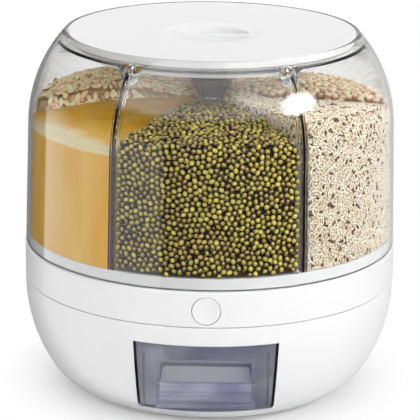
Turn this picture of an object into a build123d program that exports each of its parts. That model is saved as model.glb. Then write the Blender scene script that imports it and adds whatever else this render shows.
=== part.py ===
from build123d import *
import os
from math import acos, asin, atan, cos, degrees, radians, sin, sqrt, tan

# Rotating grain dispenser. A clear six-compartment barrel turns on a white
# base. Pressing the button slides a shutter under the front outlet, and the
# grain falls down a chute into the drawer.
# Millimetres, +Z up, the front faces -Y, and the origin lies on the table
# under the middle of the base.

# Base housing
body_r = 155.5
base_wall = 2.6
foot_h = 2.5
foot_r = 9.0
foot_inset = 19.8
foot_count = 4
bowl_h = 91.0
bowl_flare = 58.5
bowl_side_r = 130.0
seam_rise = 3.2
seam_gap = 0.6
base_top_h = 29.6
deck_t = 3.0
lap_h = 7.0
lap_t = 2.2
lap_step_h = 6.0
fit_gap = 0.3
boss_inset = 11.8
boss_r = 5.0
screw_r = 1.9
screw_clear = 0.2
screw_head_r = 4.0
screw_head_h = 2.0
screw_len = 22.0
screw_count = 4

# Drawer and its front
drawer_drop = 12.8
drawer_low_z = 15.0
drawer_top_half = 55.7
drawer_low_half = 52.6
drawer_side_gap = 2.4
drawer_end_gap = 0.8
drawer_corner_r = 2.5
drawer_wall = 2.2
drawer_panel_t = 2.8
tray_half = 50.5
tray_low_z = 16.0
tray_drop = 7.2
tray_len = 128.5
pocket_half = 36.5
pocket_floor_z = 30.0
pocket_depth = 31.0
pocket_back_top_z = 52.8
pocket_mouth_depth = 2.0
pocket_mouth_z = 67.0
lip_half = 39.5
lip_depth = 7.5
lip_top_z = 45.7
lip_low_z = 24.0
rail_w = 12.0
rail_side_t = 2.4
rail_side_h = 14.0
rail_depth = 67.5
cut_depth = 65.5

# Button, shutter and outlet
button_drop = 15.5
button_r = 11.2
button_gap = 0.5
button_dish = 1.5
button_rim = 0.9
button_len = 15.0
button_wall = 2.2
button_stem_r = 4.0
guide_t = 2.0
guide_len = 14.0
travel = 11.0
slot_len = 10.0
slot_half = 22.0
outlet_inset = 59.0
gate_t = 1.8
gate_gap = 1.2
gate_half = 27.0
gate_margin = 12.0
gate_tab_half = 8.0
gate_tab_t = 2.5
gate_tab_h = 19.6
gate_depth = 28.5
chute_wall = 2.0
chute_clear = 3.8
chute_ledge_t = 1.6
chute_rail_w = 3.6
spring_r = 5.0
spring_wire = 1.0

# Pivot and roller race
post_r = 6.0
post_run = 0.05
post_flange_r = 16.0
post_flange_t = 3.2
post_end = 2.0
hub_r = 12.6
hub_h = 25.0
bush_t = 3.0
bush_flange_t = 1.5
bush_flange_w = 1.6
washer_r = 10.5
washer_t = 1.5
nut_r = 8.5
nut_t = 5.7
roller_r = 2.2
roller_len = 8.0
roller_count = 12
roller_clear = 0.3
race_inset = 22.0
race_half = 11.0
cage_t = 1.6
cage_half = 9.0

# Barrel
compartments = 6
barrel_step = 0.5
barrel_wall = 2.8
barrel_gap = 0.7
side_h = 101.8
draft_loss = 2.7
shoulder_r = 114.5
barrel_h = 177.0
rim_t = 2.0
ledge_drop = 9.5
ledge_t = 2.5
ledge_w = 5.94
floor_t = 2.6
floor_gap = 1.2
floor_rim_h = 9.0
trough_half = 16.0
floor_rim_w = 3.8
cone_h = 15.5
floor_slot_len = 16.0
divider_t = 2.4
divider_gap = 0.4
divider_mid_drop = 43.5
divider_mid_r = 50.0
divider_high_drop = 20.5
divider_high_w = 9.5
divider_neck_w = 3.5
channel_t = 1.5
channel_gap = 0.2
channel_depth = 5.0
flare_w = 9.0
flare_h = 15.0

# Centre column, narrow above the nut and opening into a cup
column_r = 15.0
column_wall = 2.0
column_waist_h = 25.5
column_neck_h = 45.5
column_neck_r = 10.0
cup_low_drop = 56.5
cup_side_drop = 46.5
cup_top_drop = 40.5
cup_r = 17.5
cup_wall = 1.6

# Lid
lid_gap = 0.4
lid_t = 2.4
lid_rest_gap = 0.2
lid_dish = 2.3
recess_w = 10.0
recess_step_w = 5.0
recess_step_h = 1.4
well_r = 31.0
well_depth = 16.5
grip_half = 2.2
plug_gap = 4.0
plug_t = 2.2
plug_depth = 16.5
seal_low_drop = 13.0
seal_high_drop = 7.5
seal_gap = 0.3
box_gap = 2.4
box_wall = 1.8
box_turn_drop = 24.5
box_low_drop = 38.0
box_curve_w = 15.6

# Worked out from the values above
seam_z = bowl_h + seam_rise
deck_z = seam_z + base_top_h
drawer_top_z = bowl_h - drawer_drop
tray_top_z = drawer_top_z - tray_drop
chute_low_z = drawer_top_z + chute_clear
button_z = deck_z - button_drop
tray_back_y = tray_len - body_r
pocket_back_y = pocket_depth - body_r
pocket_mouth_y = pocket_mouth_depth - body_r
lip_front_y = lip_depth - body_r
rail_front_y = rail_depth - body_r
cut_back_y = cut_depth - body_r
gate_front_y = gate_depth - body_r
barrel_r = body_r - barrel_step
outlet_r = barrel_r - outlet_inset
race_r = barrel_r - race_inset
shoulder_start_r = barrel_r - draft_loss
trough_in_r = outlet_r - trough_half
trough_out_r = outlet_r + trough_half
heel_r = (bowl_side_r**2 - bowl_h**2 - (bowl_flare - bowl_side_r)**2) / (2 * (bowl_side_r - bowl_h))
side_turn = degrees(asin((bowl_h - heel_r) / (bowl_side_r - heel_r)))
bowl_floor_z = foot_h + base_wall
deck_low_z = deck_z - deck_t
lap_r = body_r - base_wall - fit_gap
outlet_y = -outlet_r
gate_z = deck_low_z - gate_gap
gate_low_z = gate_z - gate_t
gate_tab_low_z = gate_z - gate_tab_h
gate_back_y = outlet_y + slot_len / 2 + gate_margin
chute_half = slot_half + fit_gap
chute_len = slot_len + 2 * fit_gap
chute_front_y = outlet_y - chute_len / 2 - chute_wall
ledge_top_z = gate_low_z - fit_gap
barrel_z = deck_z + barrel_gap
shoulder_z = barrel_z + side_h
rim_z = barrel_z + barrel_h
ledge_z = rim_z - ledge_drop
floor_low_z = deck_z + floor_gap
floor_rim_z = floor_low_z + floor_rim_h
cone_top_z = floor_low_z + cone_h
hub_top_z = floor_low_z + hub_h
column_waist_z = cone_top_z + column_waist_h
column_neck_z = cone_top_z + column_neck_h
cup_low_z = rim_z - cup_low_drop
cup_side_z = rim_z - cup_side_drop
cup_top_z = rim_z - cup_top_drop
divider_mid_z = rim_z - divider_mid_drop
divider_high_z = rim_z - divider_high_drop
draft = atan((barrel_r - shoulder_start_r) / (shoulder_z - barrel_z))
shoulder_c_r = shoulder_start_r - shoulder_r * cos(draft)
shoulder_c_z = shoulder_z - shoulder_r * sin(draft)
roller_z = deck_z + roller_clear + roller_r
race_z = roller_z + roller_r + roller_clear
trough_z = floor_low_z + floor_t
bush_r = post_r + post_run
hub_bore_r = bush_r + bush_t
washer_z = hub_top_z + bush_flange_t + fit_gap
column_z = cone_top_z + fit_gap
seat_z = ledge_z + ledge_t
recess_r = well_r + recess_w
well_low_z = rim_z - well_depth
plug_low_z = rim_z - plug_depth
seal_low_z = rim_z - seal_low_drop
seal_high_z = rim_z - seal_high_drop
box_r = well_r + lid_t + box_gap + box_wall
box_floor_r = box_r - box_curve_w
box_turn_z = rim_z - box_turn_drop
box_low_z = rim_z - box_low_drop
front = Plane.XZ
divider_angles = [360 / compartments * n for n in range(compartments)]
slot_angles = [360 / compartments * n - 90 for n in range(compartments)]


def bowl_low_r(inset, low_z):
    """Radius where the bowl's outline, moved in by inset, meets the height low_z."""
    return body_r - bowl_flare + sqrt((heel_r - inset)**2 - (heel_r - low_z)**2)


def bowl_outline(inset, low_z):
    """The bowl's side and heel, moved in by inset, from bowl_h down to low_z."""
    drop = degrees(acos((heel_r - low_z) / (heel_r - inset)))
    CenterArc((body_r - bowl_side_r, bowl_h), bowl_side_r - inset, 0, -side_turn)
    CenterArc((body_r - bowl_flare, heel_r), heel_r - inset, -side_turn, side_turn + drop - 90)


def bowl_half(inset):
    """Half section of everything inside the bowl's outline, up to the seam."""
    low_z = foot_h + inset
    bowl_outline(inset, low_z)
    Polyline((bowl_low_r(inset, low_z), low_z), (0, low_z), (0, seam_z),
             (body_r - inset, seam_z), (body_r - inset, bowl_h))


def wall_r(z, inset):
    """Radius of the barrel's outline, moved in by inset, at height z."""
    if z <= shoulder_z - inset * sin(draft):
        return barrel_r - (z - barrel_z) * tan(draft) - inset / cos(draft)
    return shoulder_c_r + sqrt((shoulder_r - inset)**2 - (z - shoulder_c_z)**2)


def barrel_outline(inset, low_z, high_z):
    """The barrel's drafted side and round shoulder, moved in by inset."""
    turn = asin((high_z - shoulder_c_z) / (shoulder_r - inset))
    shoulder = CenterArc((shoulder_c_r, shoulder_c_z), shoulder_r - inset,
                         degrees(draft), degrees(turn - draft))
    Line((wall_r(low_z, inset), low_z), shoulder @ 0)


foot_edge_r = bowl_low_r(0, foot_h)
foot_circle_r = foot_edge_r - foot_inset
boss_circle_r = foot_edge_r - boss_inset
rim_r = wall_r(rim_z, 0)
seat_r = rim_r - rim_t
ledge_hole_r = seat_r - ledge_w
plug_r = ledge_hole_r - plug_gap
divider_neck_r = ledge_hole_r + divider_neck_w
divider_high_r = ledge_hole_r - divider_high_w
floor_edge_r = wall_r(barrel_z, barrel_wall) - divider_gap
floor_slope_r = floor_edge_r - floor_rim_w


def radial_plane(angle):
    """Upright plane through the axis, with its X pointing outwards at angle."""
    turn = radians(angle)
    return Plane(origin=(0, 0, 0), x_dir=(cos(turn), sin(turn), 0), z_dir=(sin(turn), -cos(turn), 0))


def facing_plane(angle, distance):
    """Upright plane square to the radius at angle, looking outwards."""
    turn = radians(angle)
    return Plane(origin=(distance * cos(turn), distance * sin(turn), 0),
                 x_dir=(-sin(turn), cos(turn), 0), z_dir=(cos(turn), sin(turn), 0))


def drawer_outline(side_gap, end_gap):
    """The drawer front seen from the front, grown by the gaps round it."""
    Polygon((-drawer_top_half - side_gap, drawer_top_z + end_gap),
            (drawer_top_half + side_gap, drawer_top_z + end_gap),
            (drawer_low_half + side_gap, drawer_low_z - end_gap),
            (-drawer_low_half - side_gap, drawer_low_z - end_gap), align=None)


def box_outline(x_low, x_high, y_low, y_high):
    """Rectangle given by its edges in the sketch's own X and Y."""
    Polygon((x_low, y_low), (x_high, y_low), (x_high, y_high), (x_low, y_high), align=None)


# Lower housing
with BuildPart() as base_bowl:
    with BuildSketch(front):
        with BuildLine():
            bowl_outline(0, foot_h)
            bowl_outline(base_wall, bowl_floor_z)
            Polyline((bowl_low_r(0, foot_h), foot_h), (0, foot_h), (0, bowl_floor_z),
                     (bowl_low_r(base_wall, bowl_floor_z), bowl_floor_z))
            Polyline((body_r, bowl_h), (body_r, seam_z), (body_r - base_wall, seam_z),
                     (body_r - base_wall, bowl_h))
        make_face()
    revolve(axis=Axis.Z)
    with BuildSketch(front.offset(-cut_back_y)) as opening:
        drawer_outline(drawer_side_gap, drawer_end_gap)
        fillet(opening.vertices().group_by(Axis.Z)[0], drawer_corner_r + drawer_end_gap)
    extrude(amount=body_r, mode=Mode.SUBTRACT)
    with BuildSketch(Plane.XY.offset(foot_h)):
        with PolarLocations(boss_circle_r, screw_count, start_angle=180 / screw_count):
            Circle(screw_r + screw_clear)
    extrude(amount=base_wall, mode=Mode.SUBTRACT)
base_bowl.part.label = "base_bowl"

# Upper housing with the deck, the outlet and the button's guide
with BuildPart() as base_top:
    with BuildSketch(front):
        with BuildLine():
            Polyline((body_r, deck_z), (body_r, seam_z + seam_gap),
                     (lap_r, seam_z + seam_gap), (lap_r, seam_z - lap_h),
                     (lap_r - lap_t, seam_z - lap_h), (lap_r - lap_t, seam_z + lap_step_h),
                     (body_r - base_wall, seam_z + lap_step_h), (body_r - base_wall, deck_low_z),
                     (post_r + screw_clear, deck_low_z), (post_r + screw_clear, deck_z), close=True)
        make_face()
    revolve(axis=Axis.Z)
    with BuildSketch(Plane.XY.offset(bowl_floor_z)):
        with PolarLocations(boss_circle_r, screw_count, start_angle=180 / screw_count):
            Circle(boss_r)
    extrude(amount=deck_low_z - bowl_floor_z)
    with BuildSketch(Plane.XY.offset(bowl_floor_z)):
        with PolarLocations(boss_circle_r, screw_count, start_angle=180 / screw_count):
            Circle(screw_r + screw_clear)
    extrude(amount=screw_len, mode=Mode.SUBTRACT)
    with BuildSketch(front.offset(body_r - base_wall / 2 - guide_len)):
        with Locations((0, button_z)):
            Circle(button_r + button_gap + guide_t)
    extrude(amount=guide_len)
    with BuildSketch(front.offset(body_r - base_wall / 2 - guide_len)):
        with Locations((0, button_z)):
            Circle(button_r + button_gap)
    extrude(amount=body_r, mode=Mode.SUBTRACT)
    with BuildSketch(Plane.XY.offset(deck_low_z)):
        with Locations((0, outlet_y)):
            Rectangle(2 * slot_half, slot_len)
    extrude(amount=deck_t, mode=Mode.SUBTRACT)
base_top.part.label = "base_top"

# Chute under the outlet, with the channels that carry the shutter
with BuildPart() as outlet_chute:
    with BuildSketch(Plane.XY.offset(ledge_top_z - chute_ledge_t)):
        rail_half = gate_half + fit_gap + chute_rail_w
        box_outline(-rail_half, rail_half, gate_front_y + travel, gate_back_y)
        with Locations((0, outlet_y)):
            Rectangle(2 * chute_half, outlet_r, mode=Mode.SUBTRACT)
    extrude(amount=deck_low_z - ledge_top_z + chute_ledge_t)
    with BuildSketch(Plane.XY.offset(ledge_top_z)):
        with Locations((0, outlet_y)):
            Rectangle(2 * (gate_half + fit_gap), outlet_r)
    extrude(amount=deck_low_z - ledge_top_z, mode=Mode.SUBTRACT)
    with BuildSketch(Plane.XY.offset(chute_low_z)):
        with Locations((0, outlet_y)):
            Rectangle(2 * (chute_half + chute_wall), chute_len + 2 * chute_wall)
            Rectangle(2 * chute_half, chute_len, mode=Mode.SUBTRACT)
    extrude(amount=ledge_top_z - chute_low_z)
outlet_chute.part.label = "outlet_chute"

# Shutter plate, pushed back by the button through its front tab
with BuildPart() as shutter_plate:
    with BuildSketch(Plane.XY.offset(gate_low_z)):
        box_outline(-gate_half, gate_half, gate_front_y, gate_back_y)
        with Locations((0, outlet_y - travel)):
            Rectangle(2 * slot_half, slot_len, mode=Mode.SUBTRACT)
    extrude(amount=gate_t)
    with BuildSketch(front.offset(-gate_front_y - gate_tab_t)):
        box_outline(-gate_tab_half, gate_tab_half, gate_tab_low_z, gate_z)
    extrude(amount=gate_tab_t)
shutter_plate.part.label = "shutter_plate"

# Push button: a dished cap with a skirt, and a stem that reaches the shutter's tab
with BuildPart() as button_cap:
    with BuildSketch(Plane.YZ):
        face_y = -body_r
        inside_y = face_y + button_dish + button_wall
        rim_h = button_r - button_rim
        stem_y = gate_front_y - fit_gap / 2
        with BuildLine():
            Polyline((face_y + button_dish, button_z), (stem_y, button_z),
                     (stem_y, button_z + button_stem_r), (inside_y, button_z + button_stem_r),
                     (inside_y, button_z + button_r - button_wall),
                     (face_y + button_len, button_z + button_r - button_wall),
                     (face_y + button_len, button_z + button_r), (face_y, button_z + button_r),
                     (face_y, button_z + rim_h))
            TangentArc((face_y + button_dish, button_z), (face_y, button_z + rim_h), tangent=(0, 1))
        make_face()
    revolve(axis=Axis((0, 0, button_z), (0, 1, 0)))
button_cap.part.label = "button_cap"

# Return spring between the shutter's tab and the chute, as a sleeve of its size
with BuildPart() as return_spring:
    spring_start_y = gate_front_y + gate_tab_t + fit_gap / 2
    with BuildSketch(front.offset(-spring_start_y)):
        with Locations((0, button_z)):
            Circle(spring_r)
            Circle(spring_r - spring_wire, mode=Mode.SUBTRACT)
    extrude(amount=spring_start_y - chute_front_y + fit_gap / 2)
return_spring.part.label = "return_spring"

# Drawer: tray, curved front, and a finger pocket behind a lip
with BuildPart() as drawer_panel:
    with BuildSketch(front.offset(-cut_back_y)) as panel_outline:
        drawer_outline(0, 0)
        fillet(panel_outline.vertices().group_by(Axis.Z)[0], drawer_corner_r)
    extrude(amount=body_r)
    with BuildSketch(front):
        with BuildLine():
            bowl_half(0)
        make_face()
    revolve(axis=Axis.Z, mode=Mode.INTERSECT)
    with BuildSketch(front):
        with BuildLine():
            bowl_half(drawer_panel_t)
        make_face()
    revolve(axis=Axis.Z, mode=Mode.SUBTRACT)

with BuildPart() as tray_room:
    with BuildSketch(front.offset(-tray_back_y + drawer_wall)):
        box_outline(drawer_wall - tray_half, tray_half - drawer_wall, tray_low_z + drawer_wall, seam_z)
    extrude(amount=body_r)
    with BuildSketch(front):
        with BuildLine():
            bowl_half(drawer_panel_t)
        make_face()
    revolve(axis=Axis.Z, mode=Mode.INTERSECT)

with BuildPart() as pocket_walls:
    with BuildSketch(Plane.YZ.offset(-pocket_half - drawer_wall)):
        slope = (pocket_mouth_z - pocket_back_top_z) / (pocket_back_y - pocket_mouth_y)
        pocket_front_top_z = pocket_back_top_z + slope * (pocket_back_y + body_r)
        with BuildLine():
            Polyline((-body_r, pocket_floor_z - drawer_wall),
                     (pocket_back_y + drawer_wall, pocket_floor_z - drawer_wall),
                     (pocket_back_y + drawer_wall, pocket_back_top_z + drawer_wall),
                     (-body_r, pocket_front_top_z + drawer_wall), close=True)
        make_face()
    extrude(amount=2 * (pocket_half + drawer_wall))
    with BuildSketch(front):
        with BuildLine():
            bowl_half(0)
        make_face()
    revolve(axis=Axis.Z, mode=Mode.INTERSECT)

with BuildPart() as drawer:
    with BuildSketch(front.offset(-tray_back_y)):
        box_outline(-tray_half, tray_half, tray_low_z, tray_top_z)
    extrude(amount=body_r)
    with BuildSketch(front):
        with BuildLine():
            bowl_half(0)
        make_face()
    revolve(axis=Axis.Z, mode=Mode.INTERSECT)
    add(tray_room.part, mode=Mode.SUBTRACT)
    add(drawer_panel.part)
    add(pocket_walls.part)
    with BuildSketch(Plane.YZ.offset(-lip_half)):
        box_outline(lip_front_y, pocket_back_y - 2 * drawer_wall, lip_low_z, lip_top_z)
    extrude(amount=2 * lip_half)
    with BuildSketch(Plane.YZ.offset(-pocket_half)):
        with BuildLine():
            Polyline((lip_front_y + drawer_wall, pocket_floor_z), (pocket_back_y, pocket_floor_z),
                     (pocket_back_y, pocket_back_top_z), (-body_r, pocket_front_top_z),
                     (-body_r, lip_top_z), (lip_front_y + drawer_wall, lip_top_z), close=True)
        make_face()
    extrude(amount=2 * pocket_half, mode=Mode.SUBTRACT)
drawer.part.label = "drawer"

# Two rails on the bowl's floor that guide the drawer and stop it at the back
rails = {}
for name, side in (("rail_left", -1), ("rail_right", 1)):
    with BuildPart() as rail:
        with BuildSketch(front.offset(-tray_back_y - fit_gap)):
            inner = side * (tray_half + fit_gap)
            box_outline(inner, inner + side * rail_side_t, bowl_floor_z, tray_low_z + rail_side_h)
            box_outline(inner, inner - side * rail_w, bowl_floor_z, tray_low_z - fit_gap)
        extrude(amount=-rail_front_y + tray_back_y)
        with BuildSketch(front.offset(-tray_back_y - fit_gap - rail_side_t)):
            box_outline(inner + side * rail_side_t, inner - side * rail_w,
                        bowl_floor_z, tray_low_z + rail_side_h)
        extrude(amount=rail_side_t)
    rail.part.label = name
    rails[name] = rail

# Rubber feet and the screws that close the base
with BuildPart() as rubber_feet:
    with BuildSketch():
        with PolarLocations(foot_circle_r, foot_count):
            Circle(foot_r)
    extrude(amount=foot_h)
rubber_feet.part.label = "rubber_feet"

with BuildPart() as case_screws:
    with BuildSketch(Plane.XY.offset(foot_h - screw_head_h)):
        with PolarLocations(boss_circle_r, screw_count, start_angle=180 / screw_count):
            Circle(screw_head_r)
    extrude(amount=screw_head_h)
    with BuildSketch(Plane.XY.offset(foot_h)):
        with PolarLocations(boss_circle_r, screw_count, start_angle=180 / screw_count):
            Circle(screw_r)
    extrude(amount=screw_len)
case_screws.part.label = "case_screws"

# Pivot: a flanged post under the deck, its washer and nut, and the barrel's bush
with BuildPart() as pivot_post:
    with BuildSketch(front):
        with BuildLine():
            post_top_z = washer_z + washer_t + nut_t + post_end
            Polyline((0, deck_low_z - post_flange_t), (post_flange_r, deck_low_z - post_flange_t),
                     (post_flange_r, deck_low_z), (post_r, deck_low_z), (post_r, post_top_z),
                     (0, post_top_z), close=True)
        make_face()
    revolve(axis=Axis.Z)
pivot_post.part.label = "pivot_post"

with BuildPart() as pivot_bush:
    with BuildSketch(front):
        with BuildLine():
            Polyline((bush_r, floor_low_z), (hub_bore_r, floor_low_z), (hub_bore_r, hub_top_z),
                     (hub_bore_r + bush_flange_w, hub_top_z),
                     (hub_bore_r + bush_flange_w, hub_top_z + bush_flange_t),
                     (bush_r, hub_top_z + bush_flange_t), close=True)
        make_face()
    revolve(axis=Axis.Z)
pivot_bush.part.label = "pivot_bush"

with BuildPart() as pivot_washer:
    with BuildSketch(Plane.XY.offset(washer_z)):
        Circle(washer_r)
        Circle(post_r, mode=Mode.SUBTRACT)
    extrude(amount=washer_t)
pivot_washer.part.label = "pivot_washer"

with BuildPart() as pivot_nut:
    with BuildSketch(Plane.XY.offset(washer_z + washer_t)):
        RegularPolygon(nut_r, 6, major_radius=False)
        Circle(post_r, mode=Mode.SUBTRACT)
    extrude(amount=nut_t)
pivot_nut.part.label = "pivot_nut"

# Roller race: a flat cage that keeps the rollers apart, and the rollers
with BuildPart() as roller_cage:
    with BuildSketch(Plane.XY.offset(roller_z - cage_t / 2)):
        Circle(race_r + cage_half)
        Circle(race_r - cage_half, mode=Mode.SUBTRACT)
        with PolarLocations(race_r, roller_count):
            Rectangle(roller_len + 2 * roller_clear, 2 * (roller_r + roller_clear), mode=Mode.SUBTRACT)
    extrude(amount=cage_t)
roller_cage.part.label = "roller_cage"

with BuildPart() as rollers:
    for number in range(roller_count):
        with BuildSketch(facing_plane(number * 360 / roller_count, race_r - roller_len / 2)):
            with Locations((0, roller_z)):
                Circle(roller_r)
        extrude(amount=roller_len)
rollers.part.label = "rollers"

# Hopper floor: sloped to a round trough, with one outlet for each compartment
with BuildPart() as barrel_floor:
    with BuildSketch(front):
        with BuildLine():
            Polyline((race_r + race_half, race_z), (race_r + race_half, floor_low_z),
                     (floor_edge_r, floor_low_z), (floor_edge_r, floor_rim_z), (floor_slope_r, floor_rim_z),
                     (trough_out_r, trough_z), (trough_in_r, trough_z),
                     (hub_r + column_wall, cone_top_z), (hub_r, cone_top_z), (hub_r, hub_top_z),
                     (hub_bore_r, hub_top_z), (hub_bore_r, floor_low_z), (hub_r, floor_low_z),
                     (hub_r, cone_top_z - floor_t), (hub_r + column_wall, cone_top_z - floor_t),
                     (trough_in_r, floor_low_z), (race_r - race_half, floor_low_z),
                     (race_r - race_half, race_z), close=True)
        make_face()
    revolve(axis=Axis.Z)
    for angle in slot_angles:
        with BuildSketch(Plane.XY.offset(floor_low_z).rotated((0, 0, angle))):
            with Locations((outlet_r, 0)):
                Rectangle(floor_slot_len, 2 * slot_half)
        extrude(amount=floor_rim_z - floor_low_z, mode=Mode.SUBTRACT)
barrel_floor.part.label = "barrel_floor"

# Channels moulded inside the barrel for the dividers, flared under the neck
with BuildPart() as channels:
    for angle in divider_angles:
        for side in (-1, 1):
            start = divider_t / 2 + channel_gap
            with BuildSketch(radial_plane(angle).offset(side * start)):
                with BuildLine():
                    low_z = floor_rim_z + divider_gap
                    barrel_outline(barrel_wall / 2, low_z, ledge_z)
                    barrel_outline(barrel_wall + channel_depth, low_z, ledge_z)
                    Line((wall_r(low_z, barrel_wall / 2), low_z),
                         (wall_r(low_z, barrel_wall + channel_depth), low_z))
                    Line((wall_r(ledge_z, barrel_wall / 2), ledge_z),
                         (wall_r(ledge_z, barrel_wall + channel_depth), ledge_z))
                make_face()
            extrude(amount=side * channel_t)
            edge = side * (start + channel_t / 2)
            tip = side * (start + channel_t + flare_w)
            with BuildSketch(facing_plane(angle, divider_neck_r)):
                with BuildLine():
                    Polyline((edge, ledge_z - flare_h), (edge, ledge_z), (tip, ledge_z))
                    TangentArc((edge, ledge_z - flare_h), (tip, ledge_z), tangent=(0, 1))
                make_face()
            extrude(amount=barrel_r - divider_neck_r)
    with BuildSketch(front):
        with BuildLine():
            barrel_outline(barrel_wall / 2, floor_rim_z, ledge_z)
            Polyline((wall_r(floor_rim_z, barrel_wall / 2), floor_rim_z), (0, floor_rim_z), (0, ledge_z),
                     (wall_r(ledge_z, barrel_wall / 2), ledge_z))
        make_face()
    revolve(axis=Axis.Z, mode=Mode.INTERSECT)

# Clear barrel with the lid's seat inside its rim
with BuildPart() as barrel_shell:
    with BuildSketch(front):
        with BuildLine():
            barrel_outline(0, barrel_z, rim_z)
            barrel_outline(barrel_wall, barrel_z, ledge_z)
            Line((wall_r(barrel_z, barrel_wall), barrel_z), (barrel_r, barrel_z))
            Polyline((rim_r, rim_z), (seat_r, rim_z), (seat_r, seat_z), (ledge_hole_r, seat_z),
                     (ledge_hole_r, ledge_z), (wall_r(ledge_z, barrel_wall), ledge_z))
        make_face()
    revolve(axis=Axis.Z)
    add(channels.part)
barrel_shell.part.label = "barrel_shell"

# Dividers, one thin plate between each two compartments
dividers = []
for number, angle in enumerate(divider_angles, start=1):
    with BuildPart() as divider:
        with BuildSketch(radial_plane(angle)):
            inset = barrel_wall + divider_gap
            low_z = floor_rim_z + divider_gap
            high_z = ledge_z - divider_gap
            near = column_r + divider_gap
            neck = column_neck_r + divider_gap
            with BuildLine():
                barrel_outline(inset, low_z, high_z)
                Polyline((wall_r(high_z, inset), high_z), (divider_neck_r, high_z),
                         (divider_neck_r, divider_high_z), (divider_high_r, divider_high_z),
                         (divider_mid_r, divider_mid_z), (cup_r + divider_gap, divider_mid_z),
                         (cup_r + divider_gap, cup_side_z - divider_gap), (neck, cup_low_z - divider_gap),
                         (neck, column_neck_z), (near, column_waist_z), (near, cone_top_z + divider_gap),
                         (trough_in_r, trough_z + divider_gap), (trough_out_r, trough_z + divider_gap),
                         (floor_slope_r, low_z), (wall_r(low_z, inset), low_z))
            make_face()
        extrude(amount=divider_t / 2, both=True)
    divider.part.label = f"divider_{number}"
    dividers.append(divider)

# Centre column over the pivot
with BuildPart() as centre_column:
    with BuildSketch(front):
        with BuildLine():
            Polyline((column_r - column_wall, column_z), (column_r, column_z), (column_r, column_waist_z),
                     (column_neck_r, column_neck_z), (column_neck_r, cup_low_z), (cup_r, cup_side_z),
                     (cup_r, cup_top_z), (cup_r - cup_wall, cup_top_z),
                     (cup_r - cup_wall, cup_side_z + cup_wall / 2),
                     (column_neck_r - cup_wall / 2, cup_low_z + cup_wall), (0, cup_low_z + cup_wall),
                     (0, cup_low_z), (column_neck_r - column_wall, cup_low_z),
                     (column_neck_r - column_wall, column_neck_z), (column_r - column_wall, column_waist_z),
                     close=True)
        make_face()
    revolve(axis=Axis.Z)
centre_column.part.label = "centre_column"

# Lid: dished top, two finger wells with a grip between them, and a plug ring
lid_r = seat_r - lid_gap
lid_under_z = rim_z - lid_t
with BuildPart() as lid_cover:
    with BuildSketch(front):
        with BuildLine():
            step_r = recess_r - recess_step_w
            step_z = rim_z - lid_dish - recess_step_h
            Polyline((0, step_z), (step_r, step_z), (recess_r, rim_z - lid_dish), (lid_r - lid_t, rim_z),
                     (lid_r, rim_z), (lid_r, seat_z + lid_rest_gap), (lid_r - lid_t, seat_z + lid_rest_gap),
                     (lid_r - lid_t, lid_under_z), (plug_r, lid_under_z - lid_rest_gap),
                     (plug_r, plug_low_z), (plug_r - plug_t, plug_low_z),
                     (plug_r - plug_t, lid_under_z - 2 * lid_rest_gap),
                     (recess_r, lid_under_z - lid_dish), (well_r + lid_t, step_z - lid_t),
                     (well_r + lid_t, well_low_z - lid_t), (0, well_low_z - lid_t), close=True)
        make_face()
    revolve(axis=Axis.Z)
    with BuildSketch(Plane.XY.offset(well_low_z)):
        Circle(well_r)
        Rectangle(2 * well_r, 2 * grip_half, mode=Mode.SUBTRACT)
    extrude(amount=rim_z - well_low_z, mode=Mode.SUBTRACT)
lid_cover.part.label = "lid_cover"

with BuildPart() as lid_seal:
    with BuildSketch(front):
        with BuildLine():
            seal_in_r = plug_r + seal_gap / 2
            Polyline((seal_in_r, seal_low_z), (ledge_hole_r - 2 * seal_gap, seal_low_z),
                     (ledge_hole_r - seal_gap, (seal_low_z + seal_high_z) / 2),
                     (ledge_hole_r - 2 * seal_gap, seal_high_z), (seal_in_r, seal_high_z), close=True)
        make_face()
    revolve(axis=Axis.Z)
lid_seal.part.label = "lid_seal"

# Drying box that hangs under the lid round the wells
with BuildPart() as drying_box:
    with BuildSketch(front):
        with BuildLine():
            box_top_z = lid_under_z - lid_dish - recess_step_h - seal_gap
            Polyline((box_r - box_wall, box_turn_z), (box_r - box_wall, box_top_z), (box_r, box_top_z),
                     (box_r, box_turn_z))
            Polyline((box_floor_r, box_low_z), (0, box_low_z), (0, box_low_z + box_wall),
                     (box_floor_r, box_low_z + box_wall))
            RadiusArc((box_r, box_turn_z), (box_floor_r, box_low_z), box_r - box_floor_r)
            RadiusArc((box_r - box_wall, box_turn_z), (box_floor_r, box_low_z + box_wall),
                      box_r - box_floor_r - box_wall)
        make_face()
    revolve(axis=Axis.Z)
drying_box.part.label = "drying_box"

pieces = [base_bowl, base_top, outlet_chute, shutter_plate, button_cap, return_spring, drawer,
          *rails.values(), rubber_feet, case_screws, pivot_post, pivot_bush, pivot_washer, pivot_nut,
          roller_cage, rollers, barrel_floor, barrel_shell, *dividers, centre_column,
          lid_cover, lid_seal, drying_box]
os.makedirs("parts", exist_ok=True)
for piece in pieces:
    export_step(piece.part, f"parts/{piece.part.label}.step")
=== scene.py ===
from math import acos, asin, atan, atan2, cos, degrees, exp, hypot, pi, radians, sin, sqrt, tan

import bmesh
import bpy
from bpy.props import FloatProperty, FloatVectorProperty, PointerProperty
from mathutils import Matrix, Vector, noise
import numpy as np


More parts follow.
